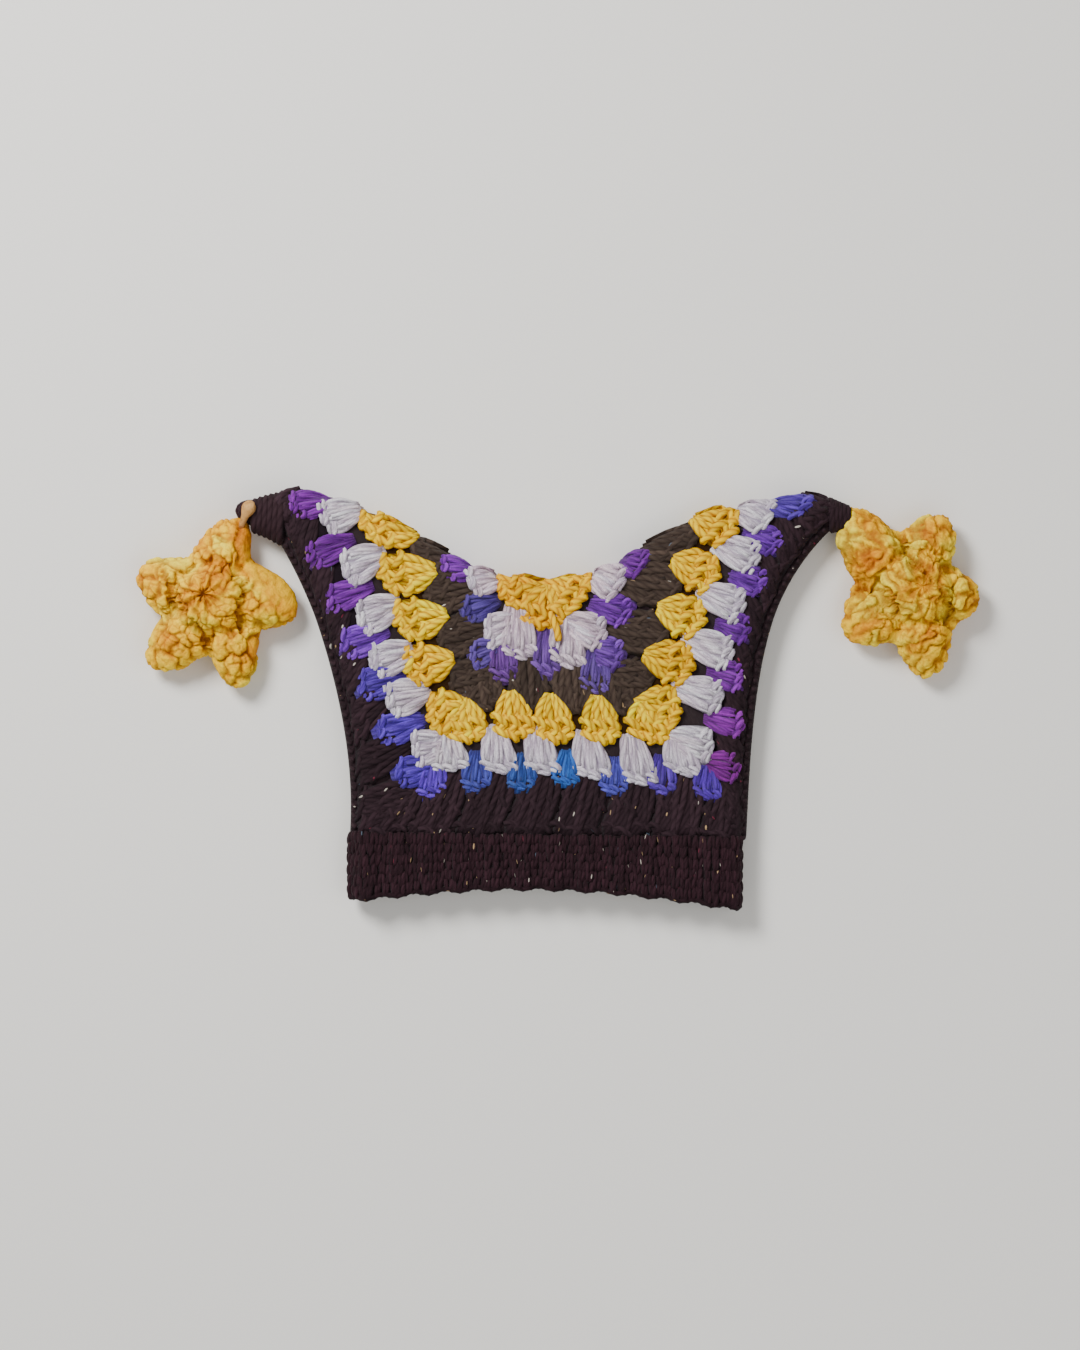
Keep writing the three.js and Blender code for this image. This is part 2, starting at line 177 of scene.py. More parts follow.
class Surface:
    """Patches of one mesh: points, faces, the place along and round the yarn, and for each point its
    tint and its share of painted light, from 0, in full painted shade low in the fabric, to 1 on a crest."""

    def __init__(self):
        self.points, self.faces, self.uvs, self.tints, self.lifts, self.count = [], [], [], [], [], 0

    def add(self, points, faces, uvs, tint, lift):
        """faces is a list of index arrays, one for each number of corners, and uvs matches it."""
        self.points.append(points)
        self.faces += [f + self.count for f in faces]
        self.uvs += uvs
        self.tints.append(np.broadcast_to(tint, (len(points), 3)))
        self.lifts.append(np.broadcast_to(lift, len(points)))
        self.count += len(points)

    def join(self, other, turned=False):
        """Takes in another surface's patches, as they are or turned over through the hat's middle plane."""
        way = -1 if turned else 1
        self.points += [p * (1, 1, way) for p in other.points]
        self.faces += [f[:, ::way] + self.count for f in other.faces]
        self.uvs += [uv[:, ::way] for uv in other.uvs]
        self.tints += other.tints
        self.lifts += other.lifts
        self.count += other.count

    def piece(self, name, material, node, slot, middle_z=MIDDLE_Z):
        """One mesh in metres, whose yarn is pressed flat where it meets the surface under the hat."""
        points = np.concatenate(self.points).astype(float)
        points = (points + (-ORIGIN[0], -ORIGIN[1], middle_z)) * MM
        points[:, 2] = np.maximum(points[:, 2], 0)
        sizes = np.concatenate([np.full(len(f), f.shape[1]) for f in self.faces])
        corners = np.concatenate([f.reshape(-1) for f in self.faces])
        mesh = bpy.data.meshes.new(name)
        mesh.vertices.add(len(points))
        mesh.vertices.foreach_set("co", points.reshape(-1))
        mesh.loops.add(len(corners))
        mesh.loops.foreach_set("vertex_index", corners)
        mesh.polygons.add(len(sizes))
        mesh.polygons.foreach_set("loop_start", np.concatenate([[0], np.cumsum(sizes)[:-1]]))
        mesh.polygons.foreach_set("use_smooth", np.ones(len(sizes), bool))
        layer = mesh.uv_layers.new(name="along")
        layer.data.foreach_set("uv", np.concatenate([uv.reshape(-1) for uv in self.uvs]))
        tint = mesh.attributes.new("tint", "FLOAT_COLOR", "POINT")
        colours = np.column_stack([np.concatenate(self.tints), np.ones(len(points))])
        tint.data.foreach_set("color", colours.reshape(-1))
        # The share of painted light, which the materials read to paint shade where it is low
        lift = mesh.attributes.new("lift", "FLOAT", "POINT")
        lift.data.foreach_set("value", np.concatenate(self.lifts))
        mesh.update(calc_edges=True)
        mesh.validate()
        mesh.materials.append(material)
        piece = bpy.data.objects.new(name, mesh)
        bpy.context.scene.collection.objects.link(piece)
        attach(piece, "root")
        if node:
            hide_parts(node)
        return piece


def grid_faces(rows, columns, rows_closed, columns_closed):
    """Quads of a grid of points, whose first and last rows or columns may meet."""
    across = columns - (not columns_closed)
    i, j = np.divmod(np.arange((rows - (not rows_closed)) * across), across)
    i2, j2 = (i + 1) % rows, (j + 1) % columns
    return np.stack([i * columns + j, i2 * columns + j, i2 * columns + j2, i * columns + j2], -1)


def tube_faces(tubes, rows, columns):
    """Quads round each of many tubes, and a face over both ends of each."""
    first = (np.arange(tubes) * rows * columns)[:, None, None]
    ends = np.stack([np.arange(columns), (rows - 1) * columns + np.arange(columns)[::-1]])
    quads = grid_faces(rows, columns, False, True)
    return (quads[None] + first).reshape(-1, 4), (ends[None] + first).reshape(-1, columns)


def add_tubes(surface, centre, out, radius, sides, tint, start_run=0.0):
    """Strands of yarn: a ring carried along each path, centre + r (b cos q + n sin q), n kept near out."""
    strands, points = centre.shape[:2]
    tangent = np.gradient(centre, axis=1)
    tangent = tangent / np.linalg.norm(tangent, axis=-1, keepdims=True)
    side_way = np.cross(tangent, out)
    side_way = side_way / np.linalg.norm(side_way, axis=-1, keepdims=True)
    up_way = np.cross(side_way, tangent)
    steps = np.linalg.norm(np.diff(centre, axis=1), axis=-1)
    run = np.concatenate([np.zeros((strands, 1)), np.cumsum(steps, axis=1)], axis=1)
    run = run + np.broadcast_to(start_run, strands)[:, None]
    turn = 2 * math.pi * np.arange(sides) / sides
    ring = centre[:, :, None, :] + radius[..., None, None] * (
        side_way[:, :, None, :] * np.cos(turn)[:, None] + up_way[:, :, None, :] * np.sin(turn)[:, None])
    faces, caps = tube_faces(strands, points, sides)
    i, j = np.divmod(grid_faces(points, sides, False, True)[:, 0], sides)
    around = np.stack([j, j, j + 1, j + 1], -1) / sides
    along = run[:, np.stack([i, i + 1, i + 1, i], -1)]
    uv = np.stack([along, np.broadcast_to(around, along.shape)], -1).reshape(-1, 4, 2)
    cap_uv = np.zeros((len(caps), sides, 2))
    cap_uv[:, :, 0] = run[:, [0, -1]].reshape(-1)[:, None]
    tint = np.asarray(tint, float)
    tint = tint[:, None, :] if tint.ndim == 2 else tint
    tint = np.repeat(np.broadcast_to(tint, (strands, points, 3)).reshape(-1, 3), sides, axis=0)
    # Painted light and shade: each strand's top takes full painted light and its underside none
    lift = np.broadcast_to(0.5 + 0.5 * np.sin(turn), ring.shape[:-1]).reshape(-1)
    surface.add(ring.reshape(-1, 3), [faces, caps], [uv, cap_uv], tint, lift)


def add_strand(surface, path, out, radius, sides, tint):
    """One strand by itself, whose out and radius may be the same all along."""
    out = np.broadcast_to(np.asarray(out, float), (1, len(path), 3))
    radius = np.broadcast_to(np.asarray(radius, float), (1, len(path)))
    add_tubes(surface, path[None], out, radius, sides, tint)


def clusters_of(round_number):
    """Apex, outer middle and half width of each cluster on the front, in plan, and its share of the
    way round: the edge steps out at each cluster and in at each gap."""
    steps = 2 * round_number
    odd = 2 * np.arange(round_number) + 1

    def at(side, step):
        free = (step > 0) & (step < steps) & (round_number < ROUNDS)
        swing = np.where(step % 2 == 1, SCALLOP, -SCALLOP)
        return edge(round_number, side, step / steps, np.where(free, swing, 0))

    parts = []
    for side in range(3):
        outer = at(side, odd) - (0, REACH.get(round_number, 0) if side == 1 else 0)
        half = (at(side, odd + 1) - at(side, odd - 1)) / 2
        if round_number == 1:
            apex = np.array([START], float)
        else:
            dip = np.where((odd > 1) & (odd < steps - 1), -SCALLOP, 0)
            apex = edge(round_number - 1, side, (odd - 1) / (steps - 2), dip)
        parts.append((apex, outer, half, (side + odd / steps) / 3))
    apex, outer, half, place = (np.concatenate(column) for column in zip(*parts))
    slipped = np.array(SLIPPED.get(round_number, [(0, 0)]), float)
    root = np.full((len(apex), 1), ROOT_SLIPS)
    root[[0, -1]] = 0
    return apex + root * slipped, outer + slipped, half, place


# Shape of the beds, and the share of painted light they keep; the rest is painted shade
BED = {"wide": 0.94, "rounded": 1.8, "inner_fall": 2.0, "outer_fall": 1.2, "thick": 1.5, "lift": 0.7}


def add_beds(surface, apex, outer, half, look, tint):
    """A low closed cushion under each cluster: across u and along v, its top falls with the fourth
    power of u and with the square of v near both ends."""
    across = np.array([-1, -0.67, -0.33, 0, 0.33, 0.67, 1, 0.6, 0, -0.6])
    on_top = np.arange(len(across)) < 7
    u, v = np.meshgrid(across, np.linspace(0.06, 0.97, 7))
    rows, columns = u.shape
    width = BED["wide"] * np.interp(v, look["at"], look["width"])
    along = v.reshape(-1)
    beside = (u * width).reshape(-1)
    plan = apex[:, None] + (outer - apex)[:, None] * along[:, None] + half[:, None] * beside[:, None]
    face, out = wall(plan)
    inner_end, outer_end = np.maximum(0.9 - 2.2 * v, 0), np.maximum(4 * v - 3.2, 0)
    height = look["crest"] - look["bed"] - BED["rounded"] * u ** 4
    height = height - BED["inner_fall"] * inner_end ** 2 - BED["outer_fall"] * outer_end ** 2
    height = np.where(on_top, height, height - BED["thick"])
    points = face + out * height.reshape(-1)[:, None]
    faces, caps = tube_faces(len(apex), rows, columns)
    length = np.linalg.norm(outer - apex, axis=-1)[:, None] * along + 50 * np.arange(len(apex))[:, None]
    place = np.stack([length.reshape(-1), np.broadcast_to(1.5 * u.reshape(-1), length.shape).reshape(-1)], -1)
    # The bed is a darker copy of the cluster's tint: painted shade under the strands
    tint = np.repeat(tint * look["bed_painted_shade"], rows * columns, axis=0)
    surface.add(points.reshape(-1, 3), [faces, caps], [place[faces], place[caps]], tint, BED["lift"])


def yarn_clusters(round_number, look, stretches, spread):
    """The yarn of a round's clusters on the front, tinted as its stretches are along the round. Each
    strand follows its stitch's path over the wall, widened as the cluster is at that place, and its
    plies wind round it by cosine and sine."""
    rng = np.random.default_rng(100 + round_number)
    apex, outer, half, place = clusters_of(round_number)
    count = len(apex)
    if round_number > 1:
        inwards = apex - outer
        if round_number > 2:
            for at, name in ((0, "tip_left"), (-1, "tip_right")):
                along_fold = np.array(CORNERS[name][round_number - 3], float) - apex[at]
                inwards[at] = along_fold * np.linalg.norm(inwards[at]) / np.linalg.norm(along_fold)
        apex = apex + look["inside"] * inwards
    surface = Surface()
    colours = np.array([linear(*colour) for _, colour in stretches])
    tint = np.stack([np.interp(place, [at for at, _ in stretches], band) for band in colours.T], -1)
    tint = np.clip(tint * rng.normal(1, spread, (count, 1)), 0, 1)
    add_beds(surface, apex, outer, half, look, tint)
    sway = rng.normal(0, UNEVEN["sway"], (3, count, 1))
    span = np.linalg.norm(half, axis=-1)[:, None]
    apex_tone_and_shade, outer_tone_and_light = np.array(look["apex_tone_and_shade"]), np.array(look["outer_tone_and_light"])
    for stitch in (-1, 0, 1):
        for girth, path in look["stitch"].values():
            line = smooth_path(path, look["points"] if len(path) > 4 else look["points"] - 2)
            across, along, drop = line.T
            width = np.interp(along, look["at"], look["width"])
            across = across * (0.22 + 0.72 * width) * look["spread"]
            across = across + stitch * (BESIDE + sway[stitch]) * width
            across = across + rng.normal(0, UNEVEN["across"], (count, 1))
            kept = look["apex_drop"] + (1 - look["apex_drop"]) * along / APEX_ENDS
            drop = drop * np.where(along < APEX_ENDS, kept, 1)
            along = along * look["length"] - SHORTER * abs(stitch) * along
            along = along + rng.normal(0, UNEVEN["along"], (count, 1))
            height = look["crest"] - look["radius"] + drop - LOWER * abs(stitch) * along
            height = height + rng.normal(0, UNEVEN["height"], (count, 1))
            taper = np.interp(along, [0, 0.3, 0.9, 1.05], [0.7, 1, 1, 0.85])
            thick = look["thread"] * girth * taper * rng.normal(1, UNEVEN["girth"], (count, 1))
            # From apex to outer end the tint shifts: partly the yarn's own tone, partly painted shade at the
            # apex where the stitches dive into the fabric and painted light at the outer end
            tone = apex_tone_and_shade + (outer_tone_and_light - apex_tone_and_shade) * np.clip(along, 0, 1)[..., None]
            shade = tint[:, None, :] * tone * rng.normal(1, look["streak"], (count, 1, 1))
            phase = rng.uniform(0, 2 * math.pi, (count, 1)) + 2 * math.pi * along * look["turns"]
            apart = (look["radius"] - look["thread"]) * taper
            for ply in range(look["plies"]):
                turned = phase + 2 * math.pi * ply / look["plies"]
                beside = across + apart * np.cos(turned) / span
                plan = apex[:, None] + (outer - apex)[:, None] * along[..., None]
                plan = plan + half[:, None] * beside[..., None]
                face, out = wall(plan)
                lifted = height + apart * np.sin(turned)
                streaks = np.clip(shade * rng.normal(1, look["streak"], (count, 1, 1)), 0, 1)
                add_tubes(surface, face + out * lifted[..., None], out, thick, STRAND_SIDES, streaks,
                          rng.uniform(0, SKEIN, count))
    return surface


def under_wall(round_number, tint, lift):
    """The fabric under the raised yarn: a closed ring of wall from one round's edge to the next, round
    the fold on both faces, whose outer edge comes down to the seam in the last round."""
    sections = []
    for side in range(3):
        share = np.linspace(0, 1, WALL_COLUMNS * round_number + 1)[: None if side == 2 else -1]
        outer = edge(round_number, side, share)
        inner = np.broadcast_to(np.array(START, float), outer.shape)
        if round_number > 1:
            inner = edge(round_number - 1, side, share)
        least = 0.0
        if round_number == ROUNDS and side != 1:
            least = SEAM_ANGLE * np.clip(40 * (share if side == 0 else 1 - share), 0, 1)
        rows = [wall(inner + (outer - inner) * t, least if t == 1 else 0.0) for t in (0, 0.25, 0.5, 0.75, 1)]
        skin = [face + out * WALL_TOP for face, out in rows]
        skin += [face - out * WALL_THICK for face, out in rows[::-1]]
        sections.append(np.stack(skin, 1))
    front = np.concatenate(sections)
    ring = np.concatenate([front, front[1:-1][::-1] * (1, 1, -1)])
    rows, columns = ring.shape[:2]
    faces = grid_faces(rows, columns, True, True)[:, ::-1]
    i, j = np.divmod(faces, columns)
    run = np.concatenate([[0], np.cumsum(np.linalg.norm(np.diff(ring[:, 4], axis=0), axis=1))])
    surface = Surface()
    surface.add(ring.reshape(-1, 3), [faces], [np.stack([run[i], j / columns], -1)], tint, lift)
    return surface


def plug(tree, socket, value):
    """Links a socket to an input, or sets the input to a number or colour."""
    if isinstance(value, bpy.types.NodeSocket):
        tree.links.new(value, socket)
    else:
        socket.default_value = value


def feed(tree, node, **values):
    """Plugs values into a node's inputs of those names, and sets the rest as its properties."""
    for name, value in values.items():
        socket = node.inputs.get(name.replace("_", " "))
        if socket is None:
            setattr(node, name, value)
        else:
            plug(tree, socket, value)
    return node


def shader(tree, kind, **values):
    """A new shader node, fed with its values."""
    return feed(tree, tree.nodes.new(kind), **values)


def maths(tree, operation, first, second=0.0, clamp=False):
    """The result of a maths node whose inputs are sockets or numbers."""
    made = shader(tree, "ShaderNodeMath", operation=operation, use_clamp=clamp)
    for socket, value in zip(made.inputs, (first, second)):
        plug(tree, socket, value)
    return made.outputs[0]


def mix_colour(tree, kind, share, first, second):
    """The result of a colour mix whose inputs are sockets, numbers or colours."""
    made = shader(tree, "ShaderNodeMix", data_type="RGBA", blend_type=kind)
    for at, value in ((0, share), (6, first), (7, second)):
        plug(tree, made.inputs[at], value)
    return made.outputs[2]


def effect_group(name, inputs, outputs):
    """An empty node group with named sockets, and its inputs and outputs to link."""
    group = bpy.data.node_groups.new(name, "ShaderNodeTree")
    for way, sockets in (("INPUT", inputs), ("OUTPUT", outputs)):
        for label, kind in sockets.items():
            group.interface.new_socket(label, in_out=way, socket_type=f"NodeSocket{kind}")
    return group, group.nodes.new("NodeGroupInput").outputs, group.nodes.new("NodeGroupOutput")


# Fibre noise moves on by this much for each mm of yarn, so little that fibres come out long
FIBRE_STRETCH = 0.035


def plied_yarn_group():
    """Twisted plies with fibres that follow the twist, s mm along a strand and v of the way round it.
    Height follows |cos| of pi (plies v + turns s). Shade is painted shade, deep between plies, on each
    strand's underside and low in the fabric, with darker streaks of fibre."""
    group, given, result = effect_group(
        "plied_yarn", {"Plies": "Float", "Turns": "Float", "Fibre scale": "Float", "Fibre shade": "Float"},
        {"Height": "Float", "Shade": "Float"})
    uv = shader(group, "ShaderNodeUVMap", uv_map="along")
    place = shader(group, "ShaderNodeSeparateXYZ", Vector=uv.outputs["UV"]).outputs
    around = maths(group, "MULTIPLY", place["Y"], given["Plies"])
    phase = maths(group, "ADD", around, maths(group, "MULTIPLY", place["X"], given["Turns"]))
    ply = maths(group, "ABSOLUTE", maths(group, "COSINE", maths(group, "MULTIPLY", phase, math.pi)))
    circle = maths(group, "MULTIPLY", phase, 2 * math.pi)
    grain = shader(group, "ShaderNodeCombineXYZ", X=maths(group, "SINE", circle),
                   Y=maths(group, "COSINE", circle), Z=maths(group, "MULTIPLY", place["X"], FIBRE_STRETCH))
    fibre = shader(group, "ShaderNodeTexNoise", Vector=grain.outputs[0], Scale=given["Fibre scale"], Detail=3)
    fibre = fibre.outputs["Fac"]
    height = maths(group, "ADD", maths(group, "MULTIPLY", ply, 0.6), maths(group, "MULTIPLY", fibre, 0.5))
    lift = shader(group, "ShaderNodeAttribute", attribute_name="lift").outputs["Fac"]
    # Painted shade in the grooves between plies
    groove = maths(group, "MULTIPLY", maths(group, "SUBTRACT", 1.0, ply), 0.75)
    between = maths(group, "MULTIPLY", maths(group, "SUBTRACT", 0.54, fibre), given["Fibre shade"])
    # Painted shade low in the fabric and on each strand's underside
    low = maths(group, "MULTIPLY", maths(group, "SUBTRACT", 1.0, lift), 0.95)
    shade = maths(group, "ADD", maths(group, "ADD", groove, between), low, clamp=True)
    feed(group, result, Height=height, Shade=shade)
    return group


def deepened_tint_group():
    """The surface's own tint, turned by Shade towards the same tint times Deep: painted shade, with each
    material's random tone mixed in.
    """
    group, given, result = effect_group(
        "deepened_tint", {"Shade": "Float", "Deep": "Color"}, {"Colour": "Color"})
    tint = shader(group, "ShaderNodeAttribute", attribute_name="tint").outputs["Color"]
    deep = mix_colour(group, "MULTIPLY", 1.0, tint, given["Deep"])
    feed(group, result, Colour=mix_colour(group, "MIX", given["Shade"], tint, deep))
    return group


PLIED_YARN = plied_yarn_group()
DEEPENED_TINT = deepened_tint_group()
# Pale, brown, blue and red, each from this share of the flecks on
FLECK_TINTS = [(0, (0.46, 0.42, 0.36)), (0.34, (0.38, 0.25, 0.13)), (0.8, (0.09, 0.12, 0.16)),
               (0.92, (0.16, 0.02, 0.04))]
FLECK_RADIUS = 0.36
# Cells for each mm along the yarn and round it
FLECK_CELLS = (0.22, 8, 1)


def new_material(name):
    material = bpy.data.materials.new(name)
    material.use_nodes = True
    return material, material.node_tree, material.node_tree.nodes["Principled BSDF"]


def flecked(tree, colour, share):
    """Short bright fibres spun into the yarn: a share of the cells along it shows a dot of another tint."""
    uv = shader(tree, "ShaderNodeUVMap", uv_map="along")
    place = shader(tree, "ShaderNodeVectorMath", operation="MULTIPLY", Vector=uv.outputs["UV"])
    place.inputs[1].default_value = FLECK_CELLS
    cells = shader(tree, "ShaderNodeTexVoronoi", Vector=place.outputs[0], Scale=1.0)
    chance = shader(tree, "ShaderNodeSeparateColor", Color=cells.outputs["Color"])
    chosen = maths(tree, "GREATER_THAN", chance.outputs[0], 1 - share)
    near = maths(tree, "LESS_THAN", cells.outputs["Distance"], FLECK_RADIUS)
    ramp = shader(tree, "ShaderNodeValToRGB", Fac=chance.outputs[1])
    ramp.color_ramp.interpolation = "CONSTANT"
    ramp.color_ramp.elements[1].position = FLECK_TINTS[1][0]
    for stop, (position, value) in enumerate(FLECK_TINTS):
        element = ramp.color_ramp.elements[stop] if stop < 2 else ramp.color_ramp.elements.new(position)
        element.color = (*value, 1)
    return mix_colour(tree, "MIX", maths(tree, "MULTIPLY", chosen, near), colour, ramp.outputs[0])


def yarn_material(name, deep, bump, sheen, flecks=0.0, **twist):
    """Yarn coloured by its own tint, with painted shade deepening it in the grooves between plies, on the
    underside of each strand and low in the fabric.
    """
    material, tree, principled = new_material(name)
    plied = shader(tree, "ShaderNodeGroup", node_tree=PLIED_YARN, **twist).outputs
    tint = shader(tree, "ShaderNodeGroup", node_tree=DEEPENED_TINT, Shade=plied["Shade"], Deep=(*deep, 1))
    colour = flecked(tree, tint.outputs[0], flecks) if flecks else tint.outputs[0]
    relief = shader(tree, "ShaderNodeBump", Strength=bump, Distance=0.8 * MM, Height=plied["Height"])
    feed(tree, principled, Base_Color=colour, Normal=relief.outputs["Normal"], Roughness=0.82,
         Specular_IOR_Level=0.12, Sheen_Weight=sheen, Sheen_Roughness=0.45)
    return material


def linear(*srgb):
    """Colour values of 0 to 255 as the renderer's linear light."""
    share = np.array(srgb, float) / 255
    return np.where(share <= 0.04045, share / 12.92, ((share + 0.055) / 1.055) ** 2.4)


# How wide a cluster is, at places along it from apex to outer end
LEAF = {"at": (0, 0.22, 0.45, 0.68, 0.88, 1.02), "width": (0.18, 0.55, 0.86, 0.97, 0.82, 0.52)}
PLACES = (0, 0.3, 0.5, 0.75, 0.9, 1.02)
FAN = {"at": PLACES, "width": (0.40, 0.62, 0.76, 0.88, 0.88, 0.76)}
BELL = {"at": PLACES, "width": (0.22, 0.46, 0.64, 0.77, 0.72, 0.5)}
FULL = {"at": PLACES, "width": (0.5, 0.75, 0.95, 1.06, 1.06, 1.02)}
# Each yarn: the radius of its strands and of its plies, how the plies turn, how far its clusters run on
# inside, how high they stand and how deep their bed lies in mm, how much its bed's tint is darkened as
# painted shade, and how its tint varies, at random and from apex to outer end, partly as painted shade and
# light
PLAIN = {"points": 8, "plies": 1, "turns": 0, "spread": 1.0, "length": 1.0, "apex_tone_and_shade": (1, 1, 1),
         "outer_tone_and_light": (1, 1, 1)}
YARNS = {
    "yellow": {
        **PLAIN, **LEAF, "stitch": CHUNKY_STITCH, "radius": 2.6, "thread": 2.6, "inside": 0.14, "crest": 3.2,
        "bed": 4.0, "apex_drop": 0.3, "bed_painted_shade": 0.5, "streak": 0.07, "apex_tone_and_shade": (0.94, 1.04, 1.0),
        "outer_tone_and_light": (1.0, 0.95, 1.0)},
    "white": {
        **PLAIN, **FAN, "stitch": LONG_STITCH, "radius": 2.3, "thread": 1.5, "plies": 2, "turns": 0.8,
        "length": 0.98, "inside": 0.12, "crest": 3.9, "bed": 3.1, "apex_drop": 1.2, "bed_painted_shade": 0.8,
        "streak": 0.07, "apex_tone_and_shade": (0.97, 0.88, 0.85)},
    "purple": {
        **PLAIN, **BELL, "stitch": LONG_STITCH, "radius": 1.95, "thread": 1.3, "plies": 2, "turns": 0.8,
        "length": 0.88, "inside": 0.3, "crest": 2.7, "bed": 2.8, "apex_drop": 1.7, "bed_painted_shade": 0.7,
        "streak": 0.12, "apex_tone_and_shade": (0.8, 0.8, 0.8), "outer_tone_and_light": (1.1, 1.1, 1.1)},
    "black": {
        **PLAIN, **FULL, "stitch": FLAT_STITCH, "radius": 2.3, "thread": 2.3, "points": 7, "spread": 1.15,
        "inside": 0.5, "crest": 1.6, "bed": 2.3, "apex_drop": 1.0, "bed_painted_shade": 0.95, "streak": 0.1},
}
THICK_PLIES = {"Plies": 3, "Turns": 0.16, "Fibre_scale": 5.0, "Fibre_shade": 1.4}
TWEED_PLIES = {"Plies": 3, "Turns": 0.13, "Fibre_scale": 6.0, "Fibre_shade": 1.5}
SOFT_PLIES = {"Plies": 2, "Turns": 0.05, "Fibre_scale": 16.0}
# Each yarn's material: the colour its painted shade turns the tint towards, its bump, sheen and twist
YARN_MATERIALS = {
    "yellow": yarn_material("yarn_yellow", (0.42, 0.22, 0.0), 0.7, 0.0, **THICK_PLIES),
    "white": yarn_material("yarn_white", (0.36, 0.29, 0.38), 1.0, 0.3, **SOFT_PLIES, Fibre_shade=5.5),
    "purple": yarn_material("yarn_purple", (0.3, 0.22, 0.35), 1.0, 0.1, **SOFT_PLIES, Fibre_shade=4.0),
    "black": yarn_material("yarn_black", (0.5, 0.45, 0.48), 0.7, 0.03, flecks=0.022, **TWEED_PLIES),
}
# The variegated yarn's colours at shares of the way round, from the left tip
OUTER_STRETCHES = [
    (0.0, (145, 45, 178)), (0.14, (146, 52, 190)), (0.2, (112, 76, 212)), (0.32, (100, 70, 206)),
    (0.36, (106, 64, 206)), (0.42, (74, 100, 186)), (0.5, (54, 116, 204)), (0.56, (96, 82, 196)),
    (0.6, (104, 66, 192)), (0.65, (108, 62, 208)), (0.69, (158, 44, 172)), (0.85, (132, 54, 184)),
    (0.95, (124, 58, 190)), (1.0, (84, 86, 200)),
]
INNER_STRETCHES = [
    (0.0, (142, 52, 184)), (0.12, (138, 56, 188)), (0.18, (84, 84, 160)), (0.3, (116, 88, 176)),
    (0.4, (134, 80, 172)), (0.6, (120, 90, 176)), (0.7, (132, 84, 190)), (0.85, (142, 60, 196)),
    (1.0, (146, 54, 180)),
]
# Each round's yarn, the tints along it and how much they differ from cluster to cluster
ROUND_LOOKS = [
    ("yellow", [(0, (255, 200, 0))], 0.06), ("white", [(0, (252, 236, 244))], 0.04),
    ("purple", INNER_STRETCHES, 0.08), ("black", [(0, (68, 56, 48))], 0.06),
    ("yellow", [(0, (255, 208, 0))], 0.05), ("white", [(0, (250, 246, 255))], 0.04),
    ("purple", OUTER_STRETCHES, 0.1), ("black", [(0, (45, 30, 36))], 0.08),
]
# The fabric under each round, near-black brown whatever the yarn: painted shade in the gaps between clusters,
# where the black yarn of the rounds beside also shows
UNDER_TINTS = {"yellow": (62, 50, 42), "white": (62, 50, 48), "purple": (44, 32, 36), "black": (40, 27, 31)}
UP = (0, 0, 1)

for number, (yarn, stretches, spread) in enumerate(ROUND_LOOKS, 1):
    front = yarn_clusters(number, YARNS[yarn], stretches, spread)
    # The fabric under the clusters takes no painted light, so it is in full painted shade, except under black
    # yarn
    whole = under_wall(number, linear(*UNDER_TINTS[yarn]), 0.6 if yarn == "black" else 0.0)
    whole.join(front)
    whole.join(front, turned=True)
    if number == 1:
        # The yarn end that hangs from the middle, and three strands along the fold between clusters
        hanging = smooth_path([(-5, 56, 11), (-2.5, 50, 15), (-.5, 44, 15.5), (0.2, 38, 14.6)], 9)
        add_strand(whole, hanging, UP, [2.4] * 8 + [1.9], 8, linear(255, 205, 0))
        for z in (-5.0, 0.0, 5.0):
            t = np.linspace(0, 1, 26)
            fold = [(-39, 78.8, z), (-24, 77.6, z), (-8, 75.6, z), (8, 77.4, z), (22, 79.8, z)]
            wavy = [0 * t, 0.9 * np.cos(26 * t + z) - 0.04 * z * z, 1.6 * np.sin(26 * t + z)]
            fold = smooth_path(fold, len(t)) + np.column_stack(wavy)
            add_strand(whole, fold, (0, 0.6, 0.8), 2.6, STRAND_SIDES, linear(246, 190, 0))
    whole.piece(f"granny_round_{number}", YARN_MATERIALS[yarn], f"round_{number}", f"yarn_{yarn}")


# The side seams: the front's edge and the back's whip-stitched together in black yarn, from the
# brim up to each tip. A strand crosses the edge at every stitch and a core of yarn runs inside.
WHIP = {"stitches": 38, "points": 9, "radius": 1.9, "half_height": 5.2, "half_depth": 3.4, "sunk": 0.6,
        "half_turn": 75, "slant": 2.4, "core": 4.6, "depth": 3.3, "less_deep": 2.6}


def seam_path(side, count):
    """The seam's middle in plan, a depth inside the outer edge that follows a squared sine, with the
    direction along it and the one out of the edge."""
    share = np.linspace(0.02, 0.99, count)
    rim = edge(ROUNDS, side, share if side == 0 else 1 - share)
    run = np.gradient(rim, axis=0)
    run = run / np.linalg.norm(run, axis=-1, keepdims=True)
    outward = np.stack([run[:, 1], -run[:, 0]], -1)
    outward = outward * (-1 if (outward[count // 2] @ (rim[count // 2] - START)) < 0 else 1)
    depth = WHIP["depth"] - WHIP["less_deep"] * np.sin(math.pi * np.clip(share, 0.35, 1)) ** 2
    return rim - depth[:, None] * outward, run, outward


